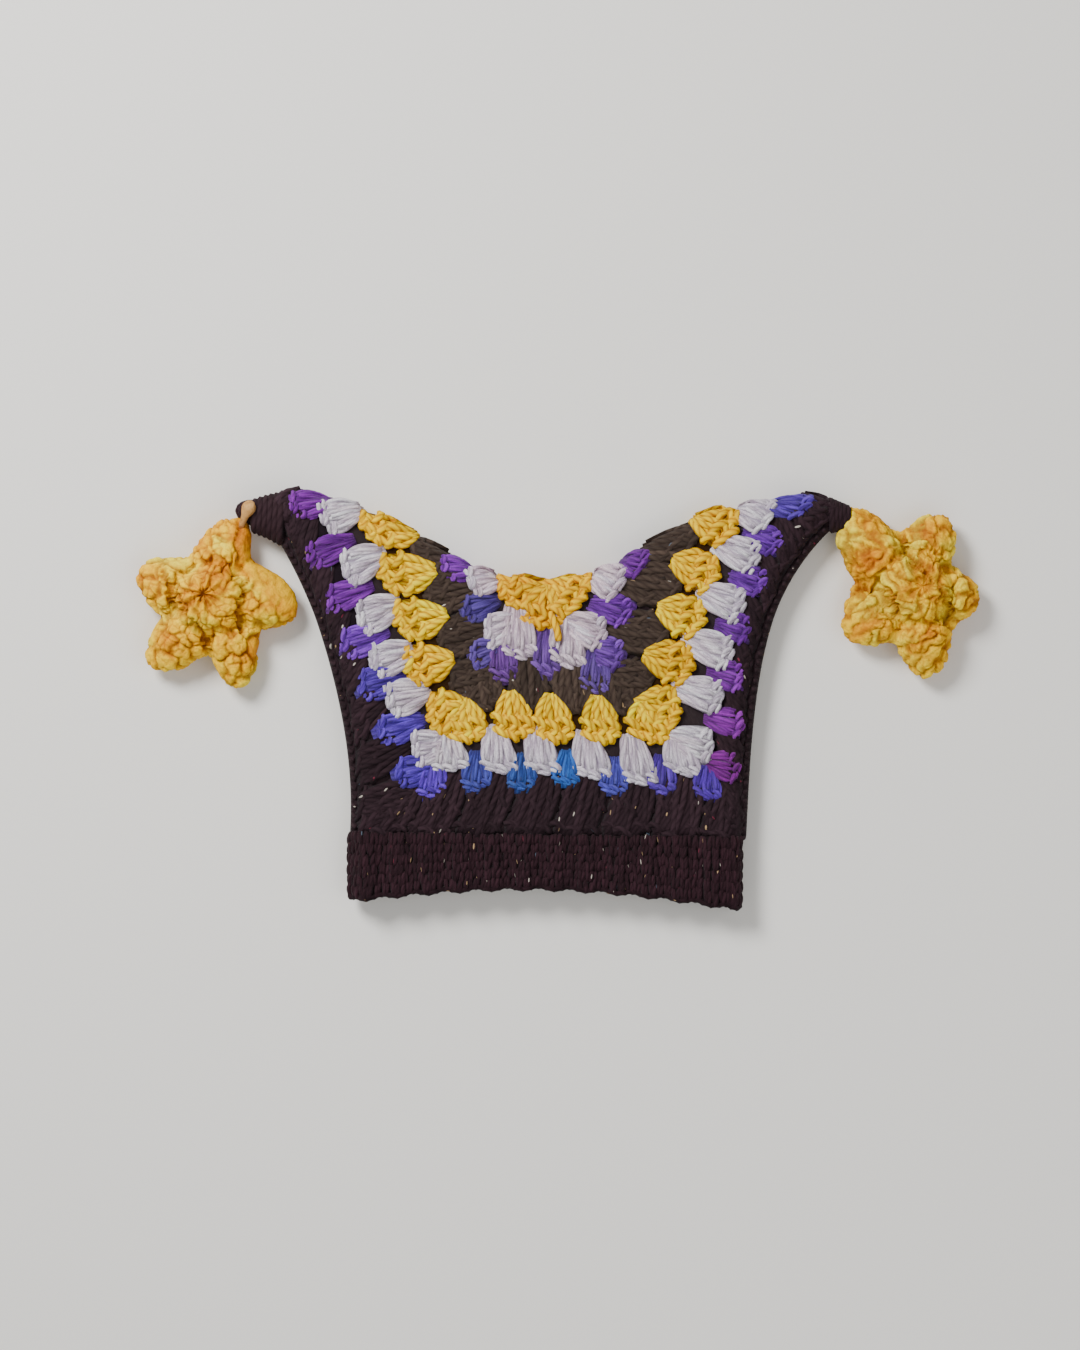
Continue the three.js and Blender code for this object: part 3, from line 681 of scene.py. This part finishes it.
for side, name in ((0, "left"), (2, "right")):
    rng = np.random.default_rng(30 + side)
    count, points = WHIP["stitches"], WHIP["points"]
    middle, run, outward = seam_path(side, count)
    turn = np.radians(np.linspace(WHIP["half_turn"], -WHIP["half_turn"], points))
    slant = WHIP["slant"] * np.sin(turn) + rng.normal(0, 0.3, (count, 1))
    outwards = outward[:, None] * (WHIP["half_depth"] * np.cos(turn) - WHIP["sunk"])[:, None]
    flat = middle[:, None] + outwards + run[:, None] * slant[..., None]
    centre = np.dstack([flat, np.broadcast_to(WHIP["half_height"] * np.sin(turn), (count, points))])
    out = np.dstack([np.broadcast_to(outward[:, None], (count, points, 2)) * np.cos(turn)[:, None],
                     np.broadcast_to(np.sin(turn), (count, points))])
    seam = Surface()
    dark = linear(45, 30, 35) * rng.normal(1, 0.12, (count, 1))
    thick = np.full((count, points), WHIP["radius"])
    add_tubes(seam, centre, out, thick, STRAND_SIDES, dark, rng.uniform(0, SKEIN, count))
    add_strand(seam, np.column_stack([middle, np.zeros(count)]), UP, WHIP["core"], 8, linear(42, 28, 33))
    seam.piece(f"sewn_side_{name}", YARN_MATERIALS["black"], f"side_seam_{name}", "yarn_black")


# The brim: one ribbed band of black tweed yarn crocheted down from the crown, its post stitches
# standing in columns, four to a rib, over a hem that dips at both ends. It stays open for a head.
BRIM = {
    "left": -137.5, "right": 121.5, "wall": 7.5, "ribs": 27, "rib_depth": 1.8, "rib_edge": 2.2, "rows": 6,
    "hem_left": -130, "hem_middle": -122, "hem_right": -136, "hem_wave": 0.9, "corner_rise": 5, "corner": 8,
    "post_radius": 1.75, "post_long": 1.3, "hem_radius": 1.9, "hem_long": 1.3, "hem_sunk": 3.4, "lining": 2.1,
}
AROUND = 2 * (BRIM["right"] - BRIM["left"] - 2 * MIDDLE_Z + math.pi * MIDDLE_Z)
COLUMNS = 4 * BRIM["ribs"]
COLUMN_WIDE = AROUND / COLUMNS


def brim_wall(run, share, sunk):
    """Points round a flattened tube, run mm round it, share from its top edge to its hem and sunk mm
    under its crest. The ribs are the hyperbolic tangent of a cosine, and the hem sags by a sine."""
    run, share, sunk = np.broadcast_arrays(run, share, sunk)
    radius = MIDDLE_Z
    straight = BRIM["right"] - BRIM["left"] - 2 * radius
    turn = math.pi * radius
    run = run % AROUND
    past = np.clip(run - straight, 0, turn) + np.clip(run - 2 * straight - turn, 0, turn)
    along = np.clip(run, 0, straight) - np.clip(run - straight - turn, 0, straight)
    angle = math.pi / 2 - past / radius
    rib = np.cos(2 * math.pi * BRIM["ribs"] * run / AROUND)
    crest = 0.5 + 0.5 * np.tanh(BRIM["rib_edge"] * rib)
    reach = radius - sunk - BRIM["rib_depth"] * (1 - crest)
    x = BRIM["left"] + radius + along + reach * np.cos(angle)
    z = reach * np.sin(angle)
    across = np.clip((x - BRIM["left"]) / (BRIM["right"] - BRIM["left"]), 0, 1)
    (low_x, low_y), (high_x, high_y) = CORNERS["low_left"][-1], CORNERS["low_right"][-1]
    top = low_y + (high_y - low_y) * (x - low_x) / (high_x - low_x)
    hem = BRIM["hem_left"] + (BRIM["hem_right"] - BRIM["hem_left"]) * across
    hem = hem + (BRIM["hem_middle"] - (BRIM["hem_left"] + BRIM["hem_right"]) / 2) * np.sin(math.pi * across)
    hem = hem - BRIM["hem_wave"] * rib
    from_end = np.minimum(x - BRIM["left"], BRIM["right"] - x)
    hem = hem + BRIM["corner_rise"] * np.maximum(1 - from_end / BRIM["corner"], 0) ** 2
    out = np.stack([np.cos(angle), 0 * angle, np.sin(angle)], -1)
    return np.stack([x, top + (hem - top) * share, z], -1), out


brim = Surface()
rng = np.random.default_rng(9)
column = np.repeat(np.arange(COLUMNS), BRIM["rows"])[:, None]
row = np.tile(np.arange(BRIM["rows"]), COLUMNS)[:, None]
count = len(column)
t = np.linspace(0, 1, 6)
for leg in (-1, 1):
    run = (column + 0.5 + leg * (0.34 - 0.2 * t)) * COLUMN_WIDE
    run = run + rng.normal(0, 0.5, (count, 1)) + rng.normal(0, 0.4, (count, 1)) * t
    share = (row + BRIM["post_long"] * t - 0.34 + rng.normal(0, 0.12, (count, 1))) / BRIM["rows"]
    sunk = 1.5 + 1.3 * (2 * t - 1) ** 2 + rng.normal(0, 0.15, (count, 1))
    centre, out = brim_wall(run, np.clip(share, -0.06, 1.0), sunk)
    dark = linear(46, 25, 32) * rng.normal(1, 0.15, (count, 1))
    thick = np.full(run.shape, BRIM["post_radius"]) * (1 - 0.2 * (2 * t - 1) ** 2)
    add_tubes(brim, centre, out, thick, STRAND_SIDES, dark, rng.uniform(0, SKEIN, count))
hem_run = (np.arange(COLUMNS)[:, None] - 0.15 + BRIM["hem_long"] * t) * COLUMN_WIDE
arch = np.sin(math.pi * t)
centre, out = brim_wall(hem_run, 1.0 - 0.02 * arch, BRIM["hem_sunk"] - 1.2 * arch)
dark = linear(36, 18, 24) * rng.normal(1, 0.15, (COLUMNS, 1))
thick = np.full(hem_run.shape, BRIM["hem_radius"])
add_tubes(brim, centre, out, thick, STRAND_SIDES, dark, rng.uniform(0, SKEIN, COLUMNS))
# A closed lining under the posts, darker than them and with little painted light: painted shade in the gaps
# between the posts
ring_run = np.linspace(0, AROUND, 4 * COLUMNS, endpoint=False)[:, None]
shares = np.array([-0.05, 0.25, 0.5, 0.75, 1, 1, 0.75, 0.5, 0.25, -0.05])
points, _ = brim_wall(ring_run, shares, np.repeat([BRIM["lining"], BRIM["wall"]], 5))
faces = grid_faces(len(ring_run), len(shares), True, True)[:, ::-1]
brim.add(points.reshape(-1, 3), [faces], [np.zeros((len(faces), 4, 2))], linear(28, 17, 20), 0.3)
brim.piece("ribbed_brim", YARN_MATERIALS["black"], "brim", "yarn_black")


# The stars: puffy stitches of velvety amber chenille, worked in rounds from a drawn-up middle out
# over five arms and closed on the back, stuffed with fibre and tied to the tips.
STAR = {
    "waist": 13, "top": 38, "thinning": 0.0055, "boss": 3, "boss_radius": 19, "belly": 1.15, "puff": 5.6,
    "groove": 4.0, "groove_wide": 4.0, "groove_from": 16, "ring": 5.0, "ring_radius": 24, "ring_wide": 3.6,
    "middle": 5.0, "middle_wide": 5.0,
}
# Each arm has the bearing and reach of its tip, and of the notch after it. Its puffs lie so far apart,
# so slender and at such a lean, with fine ones over them. The smooth band lies between two bearings,
# and creases run along lines in plan.
STARS = {
    "star_left": {
        "seed": 41, "centre": (-224, 63), "pucker": (-4.8, 5.6),
        "arms": [(71, 56.9, 120, 34), (157, 53, 195, 36), (225, 57.5, 265, 34), (286, 58, 327, 36),
                 (354, 54.5, 408, 37)],
        "apart": 11.5, "slender": 0.4, "lean": 0.7, "fine": 0.75, "folds": 9, "tone": 1.7, "band": (346, 78),
        "creases": [
            [(-208, 116), (-207, 91), (-205, 84), (-202, 78), (-205, 65), (-206, 53), (-205, 45)],
            [(-226, 30), (-232, 45), (-242, 58), (-246, 68)],
            [(-256, 82), (-252, 76), (-251, 66), (-249, 60)]],
    },
    "star_right": {
        "seed": 42, "centre": (230, 72), "pucker": (4.6, 1.2),
        "arms": [(66, 51.5, 103, 38), (130, 67, 175, 38), (217, 52.5, 251, 38), (280, 58.5, 319, 37),
                 (350, 45, 389, 31)],
        "apart": 9.5, "slender": 1.0, "lean": 0.6, "fine": 0.6, "folds": 7, "tone": 2.05, "band": (212, 228),
        "creases": [
            [(223, 107), (226, 96), (231, 88), (240, 78)], [(184, 76), (200, 72), (214, 68), (218, 56)],
            [(247, 69), (255, 56), (250, 52)]],
    },
}
# The chenille's tints from deep orange to pale yellow, picked partly at random and partly by relief as
# painted light and shade
CHENILLE_TINTS = [(218, 136, 0), (242, 174, 0), (255, 204, 6), (248, 222, 52)]


def chenille_material():
    """Velvety chenille: the stitch's own tint, mottled, deepened by painted shade where its relief is low,
    with a short soft pile.
    """
    material, tree, principled = new_material("chenille_amber")
    place = shader(tree, "ShaderNodeTexCoord").outputs["Object"]
    mottle = shader(tree, "ShaderNodeTexNoise", Vector=place, Scale=230, Detail=5, Roughness=0.65)
    pile = shader(tree, "ShaderNodeTexNoise", Vector=place, Scale=700, Detail=3, Roughness=0.6)
    mottle, pile = mottle.outputs["Fac"], pile.outputs["Fac"]
    lift = shader(tree, "ShaderNodeAttribute", attribute_name="lift").outputs["Fac"]
    uneven = maths(tree, "MULTIPLY", maths(tree, "SUBTRACT", 0.56, mottle), 2.2)
    shade = maths(tree, "ADD", maths(tree, "SUBTRACT", 1.0, lift), uneven, clamp=True)
    tint = shader(tree, "ShaderNodeGroup", node_tree=DEEPENED_TINT, Shade=shade, Deep=(0.46, 0.30, 0.06, 1))
    height = maths(tree, "ADD", mottle, maths(tree, "MULTIPLY", pile, 0.4))
    relief = shader(tree, "ShaderNodeBump", Strength=0.9, Distance=1.5 * MM, Height=height)
    feed(tree, principled, Base_Color=tint.outputs[0], Normal=relief.outputs["Normal"], Roughness=0.75,
         Specular_IOR_Level=0.2)
    return material


CHENILLE = chenille_material()


def star_reach(star, angle):
    """Distance to the outline: notch + (tip - notch)(0.5 + 0.5 cos(pi s))^0.95, s from tip to notch."""
    stops, reach, share = [], [], []
    for turn in (-360, 0, 360):
        for tip, tip_reach, notch, notch_reach in star["arms"]:
            stops += [tip + turn, notch + turn]
            reach += [tip_reach, notch_reach]
            share += [0, 1]
    stops, reach, share = map(np.array, (stops, reach, share))
    i = np.clip(np.searchsorted(stops, angle, side="right") - 1, 0, len(stops) - 2)
    t = (angle - stops[i]) / (stops[i + 1] - stops[i])
    after_tip = share[i] == 0
    from_tip = np.where(after_tip, t, 1 - t)
    tip, notch = np.where(after_tip, reach[i], reach[i + 1]), np.where(after_tip, reach[i + 1], reach[i])
    return notch + (tip - notch) * (0.5 + 0.5 * np.cos(math.pi * from_tip)) ** 0.95


def star_point(star, way, angle):
    """Skin of the star: way 0 to 1 goes out over the crown and 1 to 2 back in under the belly, angle in
    degrees. The crown is a dome less bell curves for the grooves, the ring and the drawn-up middle."""
    angle = angle % 360
    share = np.where(way <= 1, way, 2 - way)
    radius = share * star_reach(star, angle)
    flat = np.stack([np.cos(np.radians(angle)), np.sin(np.radians(angle))], -1) * radius[..., None]
    dome = np.maximum(1 - share ** 2.4, 0) ** 0.6 * (1 - STAR["thinning"] * radius)
    boss = STAR["boss"] * np.exp(-(radius / STAR["boss_radius"]) ** 4)
    crown = STAR["waist"] + (STAR["top"] - STAR["waist"] - STAR["boss"]) * dome + boss
    groove = 0
    for _, _, notch, _ in star["arms"]:
        off = np.radians((angle - notch + 180) % 360 - 180)
        beside = np.where(np.abs(off) < 1.2, radius * np.sin(off), 99)
        reached = np.clip((radius - STAR["groove_from"]) / 10, 0, 1) * np.clip((1.05 - share) / 0.3, 0, 1)
        groove = groove + STAR["groove"] * np.exp(-(beside / STAR["groove_wide"]) ** 2) * reached
    ring = STAR["ring"] * np.exp(-((radius - STAR["ring_radius"]) / STAR["ring_wide"]) ** 2)
    middle = STAR["middle"] * np.exp(-(radius / STAR["middle_wide"]) ** 2)
    belly = STAR["waist"] - np.minimum(STAR["waist"], STAR["belly"] * STAR["waist"] * np.sqrt(1 - share ** 3))
    height = np.where(way <= 1, crown - groove - ring - middle, belly)
    flat = flat + np.array(star["pucker"]) * ((1 - share) ** 1.5)[..., None] + np.array(star["centre"])
    return np.concatenate([flat, height[..., None]], -1)


def star_skin(star, way, angle):
    """A skin point and the direction out of it, from small steps along and round the skin."""
    step, ends = 0.01, 0.005
    outwards = (star_point(star, np.minimum(way + step, 2 - ends), angle)
                - star_point(star, np.maximum(way - step, ends), angle))
    round_way = star_point(star, way, angle + 1) - star_point(star, way, angle - 1)
    out = np.cross(outwards, round_way)
    return star_point(star, way, angle), out / np.maximum(np.linalg.norm(out, axis=-1, keepdims=True), 1e-9)


def waves(points, length, rng):
    """Soft uneven waves about length mm apart, mostly -1 to 1: eight sines of seeded slant and phase,
    added up and divided by the root of their number."""
    total = 0
    for _ in range(8):
        way = rng.normal(0, 1, 3)
        way = way * 2 * math.pi / (length * rng.uniform(0.7, 1.4) * np.linalg.norm(way))
        total = total + np.sin(points @ way + rng.uniform(0, 2 * math.pi))
    return total / 2.83


def scattered_puffs(star, apart, rng):
    """Places of the stitches and the ways they lie: skin points tried at random and kept where no kept
    one is nearer than apart mm."""
    tries = 14000
    way, angle = rng.uniform(0.02, 1.75, tries) ** 0.7, rng.uniform(0, 360, tries)
    here, out = star_skin(star, way, angle)
    kept = []
    for i in range(tries):
        if not kept or np.min(((here[kept] - here[i]) ** 2).sum(-1)) > apart ** 2:
            kept.append(i)
    outwards = star_point(star, way[kept] + 0.01, angle[kept]) - here[kept]
    outwards = outwards / np.linalg.norm(outwards, axis=-1, keepdims=True)
    aside = np.cross(out[kept], outwards)
    lean = rng.choice([-1, 1], len(kept)) * rng.normal(star["lean"], 0.35, len(kept))
    return here[kept], outwards * np.cos(lean)[:, None] + aside * np.sin(lean)[:, None]


def puffs(star, here, size, rng):
    """Puffs of one size: relief 0 to 1 that falls with the squared distance from each one's middle
    line, the crease where two are as near, and which one is nearest."""
    bend = [waves(here, 2.2 * size, rng) + 0.7 * waves(here, 0.9 * size, rng) for _ in range(3)]
    bent = here + 0.16 * size * np.stack(bend, -1)
    middles, along = scattered_puffs(star, size, rng)
    long = star["slender"] * size * rng.uniform(0.4, 1.3, len(middles))
    girth = 0.78 * size * rng.uniform(0.8, 1.25, len(middles))
    first, second, nearest = np.empty(len(here)), np.empty(len(here)), np.empty(len(here), int)
    batch = 4000
    for start in range(0, len(here), batch):
        part = slice(start, start + batch)
        off = bent[part, None] - middles
        onto = np.clip((off * along).sum(-1), -long, long)
        spread = ((off - onto[..., None] * along) ** 2).sum(-1) / girth ** 2
        order = np.argpartition(spread, 1, axis=1)[:, :2]
        pair = np.take_along_axis(spread, order, 1)
        first[part], second[part], nearest[part] = pair[:, 0], pair[:, 1], order[:, 0]
    crease = np.exp(-((second - first) / 0.3) ** 2)
    return np.sqrt(np.clip(1 - 0.6 * first, 0.04, 1)) * (1 - 0.45 * crease), crease, nearest


def stuffed_star(name, star):
    """One closed skin, let in by puff mm times 1 - relief, with large and small puffs, folds round the
    drawn-up middle by a cosine of the bearing, a smooth band at one edge, and creases along lines. Its tint
    is paler on the crests as painted light, and darker in the creases and low spots as painted shade."""
    rng = np.random.default_rng(star["seed"])
    ways = np.concatenate([np.linspace(0.008, 1, 92), np.linspace(1.025, 1.992, 38)])
    way, angle = np.meshgrid(ways, np.arange(0, 360, 360 / 336), indexing="ij")
    rows, columns = way.shape
    way, angle = way.reshape(-1), angle.reshape(-1)
    here, out = star_skin(star, way, angle)
    large, deep_crease, which = puffs(star, here, star["apart"], rng)
    small, fine_crease, _ = puffs(star, here, 0.46 * star["apart"], rng)
    fine = star["fine"] * np.clip(0.75 + 0.5 * waves(here, 20, rng), 0.2, 1)
    raised = (large + fine * small) / (1 + fine)
    crease = np.clip(deep_crease + fine * 0.9 * fine_crease, 0, 1)
    plan = here[:, :2] - np.array(star["centre"]) - np.array(star["pucker"])
    from_pucker = np.linalg.norm(plan, axis=-1)
    bearing = np.arctan2(plan[:, 1], plan[:, 0])
    fold = np.cos(star["folds"] * bearing + 0.1 * from_pucker + 1.5 * waves(here, 25, rng))
    folded = 0.6 * np.exp(-((from_pucker - 9) / 7) ** 2) * (here[:, 2] > 20)
    into_band = (angle - star["band"][0]) % 360
    width = (star["band"][1] - star["band"][0]) % 360
    banded = np.clip(into_band / 8, 0, 1) * np.clip((width - into_band) / 8, 0, 1) * (into_band < width)
    banded = banded * np.clip((way - 0.62) / 0.1, 0, 1)
    raised = raised * (1 - folded) + folded * (0.6 + 0.4 * fold)
    raised = raised + (0.9 - raised) * 0.75 * banded
    for knots in star["creases"]:
        step = np.arange(60)
        line = smooth_path(knots, len(step)) + 1.2 * np.column_stack([np.sin(0.9 * step), np.cos(0.7 * step)])
        beside = np.linalg.norm(here[:, None, :2] - line, axis=-1).min(1)
        gap = np.exp(-(beside / 1.5) ** 2) * (here[:, 2] > 16)
        raised, crease = raised - 0.5 * gap, np.maximum(crease, gap)
    points = here + out * (1.4 - STAR["puff"] * (1 - raised))[:, None]
    most = len(CHENILLE_TINTS) - 1.001
    pick = star["tone"] + 0.8 * waves(here, 30, rng)
    # Each puff's tint differs at random, and is paler on the crests of the small puffs as painted light and
    # more orange between them as painted shade
    pick = pick + rng.normal(0, 0.35, which.max() + 1)[which] + 0.9 * (small - 0.75)
    pick = np.clip(np.clip(pick, 0, most) - 1.5 * banded, 0, most)
    low = pick.astype(int)
    tones = np.array([linear(*tone) for tone in CHENILLE_TINTS])
    tint = tones[low] + (tones[low + 1] - tones[low]) * (pick - low)[:, None]
    # Painted shade: darker and browner in the creases, less so in the smooth band
    tint = tint * (1 - 0.5 * crease[:, None] * (1 - 0.7 * banded[:, None]) * (0.75, 1.0, 1.1))
    faces, caps = tube_faces(1, rows, columns)
    skin = Surface()
    uvs = [np.zeros((len(faces), 4, 2)), np.zeros((len(caps), columns, 2))]
    # The share of painted light follows the relief, so low spots between the puffs take painted shade
    skin.add(points, [faces, caps], uvs, tint, np.clip(raised * 1.15, 0, 1))
    piece = skin.piece(f"stuffed_{name}", CHENILLE, name, "chenille_amber", 0)


for name, star in STARS.items():
    stuffed_star(name, star)


# The left star's knot: the black yarn of the tip wound into a ball and pulled tight, and wound six
# times on round the neck of the tip behind it, wider as the neck widens, over a core of yarn.
BALL = {"at": (-199.4, 122.6, 0), "long": 8.4, "wide": 5.2, "laps": 11, "swings": 2.5, "lean": 1.25,
        "radius": 2.4}
t = np.linspace(0, 1, 170)
lap, lean = 2 * math.pi * BALL["laps"] * t, BALL["lean"] * np.sin(2 * math.pi * BALL["swings"] * t)
centre = np.column_stack([
    BALL["long"] * np.cos(lap) * np.cos(lean), BALL["wide"] * np.sin(lap) * np.cos(lean),
    BALL["wide"] * np.sin(lean)])
knot = Surface()
out = centre / np.linalg.norm(centre, axis=-1, keepdims=True)
add_strand(knot, centre + BALL["at"], out, BALL["radius"], STRAND_SIDES, linear(50, 30, 36))
turn = 2 * math.pi * 6 * t
size = 9 + 7 * t + 0.7 * np.sin(41 * t) - 3 * np.clip(10 * t - 9, 0, 1) ** 2
centre = np.column_stack([-197.5 + 20 * t + 0.1 * size * np.cos(turn), 119.5 - 2.0 * t + size * np.cos(turn),
                          (7.2 + 3.2 * t) * np.sin(turn)])
out = np.column_stack([0.2 + 0 * t, np.cos(turn), np.sin(turn)])
add_strand(knot, centre, out, 2.6, STRAND_SIDES, linear(50, 33, 38))
neck = smooth_path([(-203, 121.5, 0), (-197, 119.5, 0), (-190, 119, 0), (-178, 118, 0)], 8)
add_strand(knot, neck, UP, np.linspace(6, 9.5, 8), 10, linear(36, 24, 27))
knot.piece("wound_knot_left", YARN_MATERIALS["black"], "star_knot_left", "yarn_black")


# The right tip's binding: black yarn wound four and a half times round the point where the star is
# sewn on, over the drawn-in end of the crown.
binding = Surface()
t = np.linspace(0, 1, 110)
turn = 2 * math.pi * 4.5 * t
centre = np.column_stack([
    177 + 12 * t, 119.6 - 1.2 * t + (9.8 - 4.0 * t) * np.cos(turn), (7.5 - 2.5 * t) * np.sin(turn)])
out = np.column_stack([0.3 + 0 * t, np.cos(turn), np.sin(turn)])
add_strand(binding, centre, out, 2.3, STRAND_SIDES, linear(44, 28, 34))
core = smooth_path([(172, 119.6, 0), (178, 119.4, 0), (184, 119, 0), (190, 118.5, 0)], 8)
add_strand(binding, core, UP, np.linspace(8.5, 6.0, 8), 10, linear(36, 22, 27))
binding.piece("tip_binding_right", YARN_MATERIALS["black"], None, "yarn_black")


# The left star's tail: a short end of its own pale chenille, drawn up through the knot and thicker
# where it comes out.
tie = Surface()
path = [(-205.5, 112, 4), (-204, 116, 7.5), (-202.2, 120, 9.4), (-200.2, 124.3, 9.6), (-199.2, 127.3, 7.6)]
path = smooth_path(path, 8)
add_strand(tie, path, UP, [2.0, 2.0, 2.2, 2.6, 3.9, 4.7, 4.5, 3.0], 8, linear(206, 158, 98))
tie.piece("star_tie_left", CHENILLE, None, "chenille_amber")


# The stage: a pale floor under the hat, soft light from above, and a camera that looks straight down
# with the photograph's frame.
floor_mesh = bpy.data.meshes.new("floor")
floor_mesh.from_pydata([(-4, -4, 0), (4, -4, 0), (4, 4, 0), (-4, 4, 0)], [], [(0, 1, 2, 3)])
floor = bpy.data.objects.new("floor", floor_mesh)
bpy.context.scene.collection.objects.link(floor)
paper, tree, principled = new_material("pale_floor")
feed(tree, principled, Base_Color=(0.80, 0.78, 0.74, 1), Roughness=0.9)
floor_mesh.materials.append(paper)

LAMPS = {
    "key": {"place": (-1.0, 1.1, 1.5), "size": 0.7, "power": 62},
    "fill": {"place": (1.2, -0.4, 1.6), "size": 1.6, "power": 12},
    "front": {"place": (0.2, -1.4, 1.4), "size": 1.4, "power": 8},
}
for name, lamp in LAMPS.items():
    light = bpy.data.lights.new(name, "AREA")
    light.size, light.energy = lamp["size"], lamp["power"]
    held = bpy.data.objects.new(name, light)
    bpy.context.scene.collection.objects.link(held)
    held.location = lamp["place"]
    aim = np.array([0, 0, 0.02]) - np.array(lamp["place"])
    held.rotation_euler = (
        math.atan2(math.hypot(aim[0], aim[1]), -aim[2]), 0, math.atan2(aim[1], aim[0]) - math.pi / 2)
world = bpy.data.worlds.new("studio")
world.use_nodes = True
feed(world.node_tree, world.node_tree.nodes["Background"], Color=(1, 1, 1, 1), Strength=0.34)
bpy.context.scene.world = world

PHOTO = {"mm_per_pixel": 0.65, "wide": 1080, "high": 1350, "hat_x": 558, "hat_y": 699.5}
CAMERA_HEIGHT = 2400
SENSOR = 36
camera_data = bpy.data.cameras.new("camera")
camera = bpy.data.objects.new("camera", camera_data)
bpy.context.scene.collection.objects.link(camera)
camera.location = (
    ((PHOTO["wide"] / 2 - PHOTO["hat_x"]) * PHOTO["mm_per_pixel"] - ORIGIN[0]) * MM,
    ((PHOTO["hat_y"] - PHOTO["high"] / 2) * PHOTO["mm_per_pixel"] - ORIGIN[1]) * MM,
    CAMERA_HEIGHT * MM,
)
camera_data.sensor_fit = "VERTICAL"
camera_data.sensor_height = SENSOR
camera_data.lens = SENSOR * (CAMERA_HEIGHT - MIDDLE_Z) / (PHOTO["high"] * PHOTO["mm_per_pixel"])
camera_data.clip_end = 20
bpy.context.scene.camera = camera
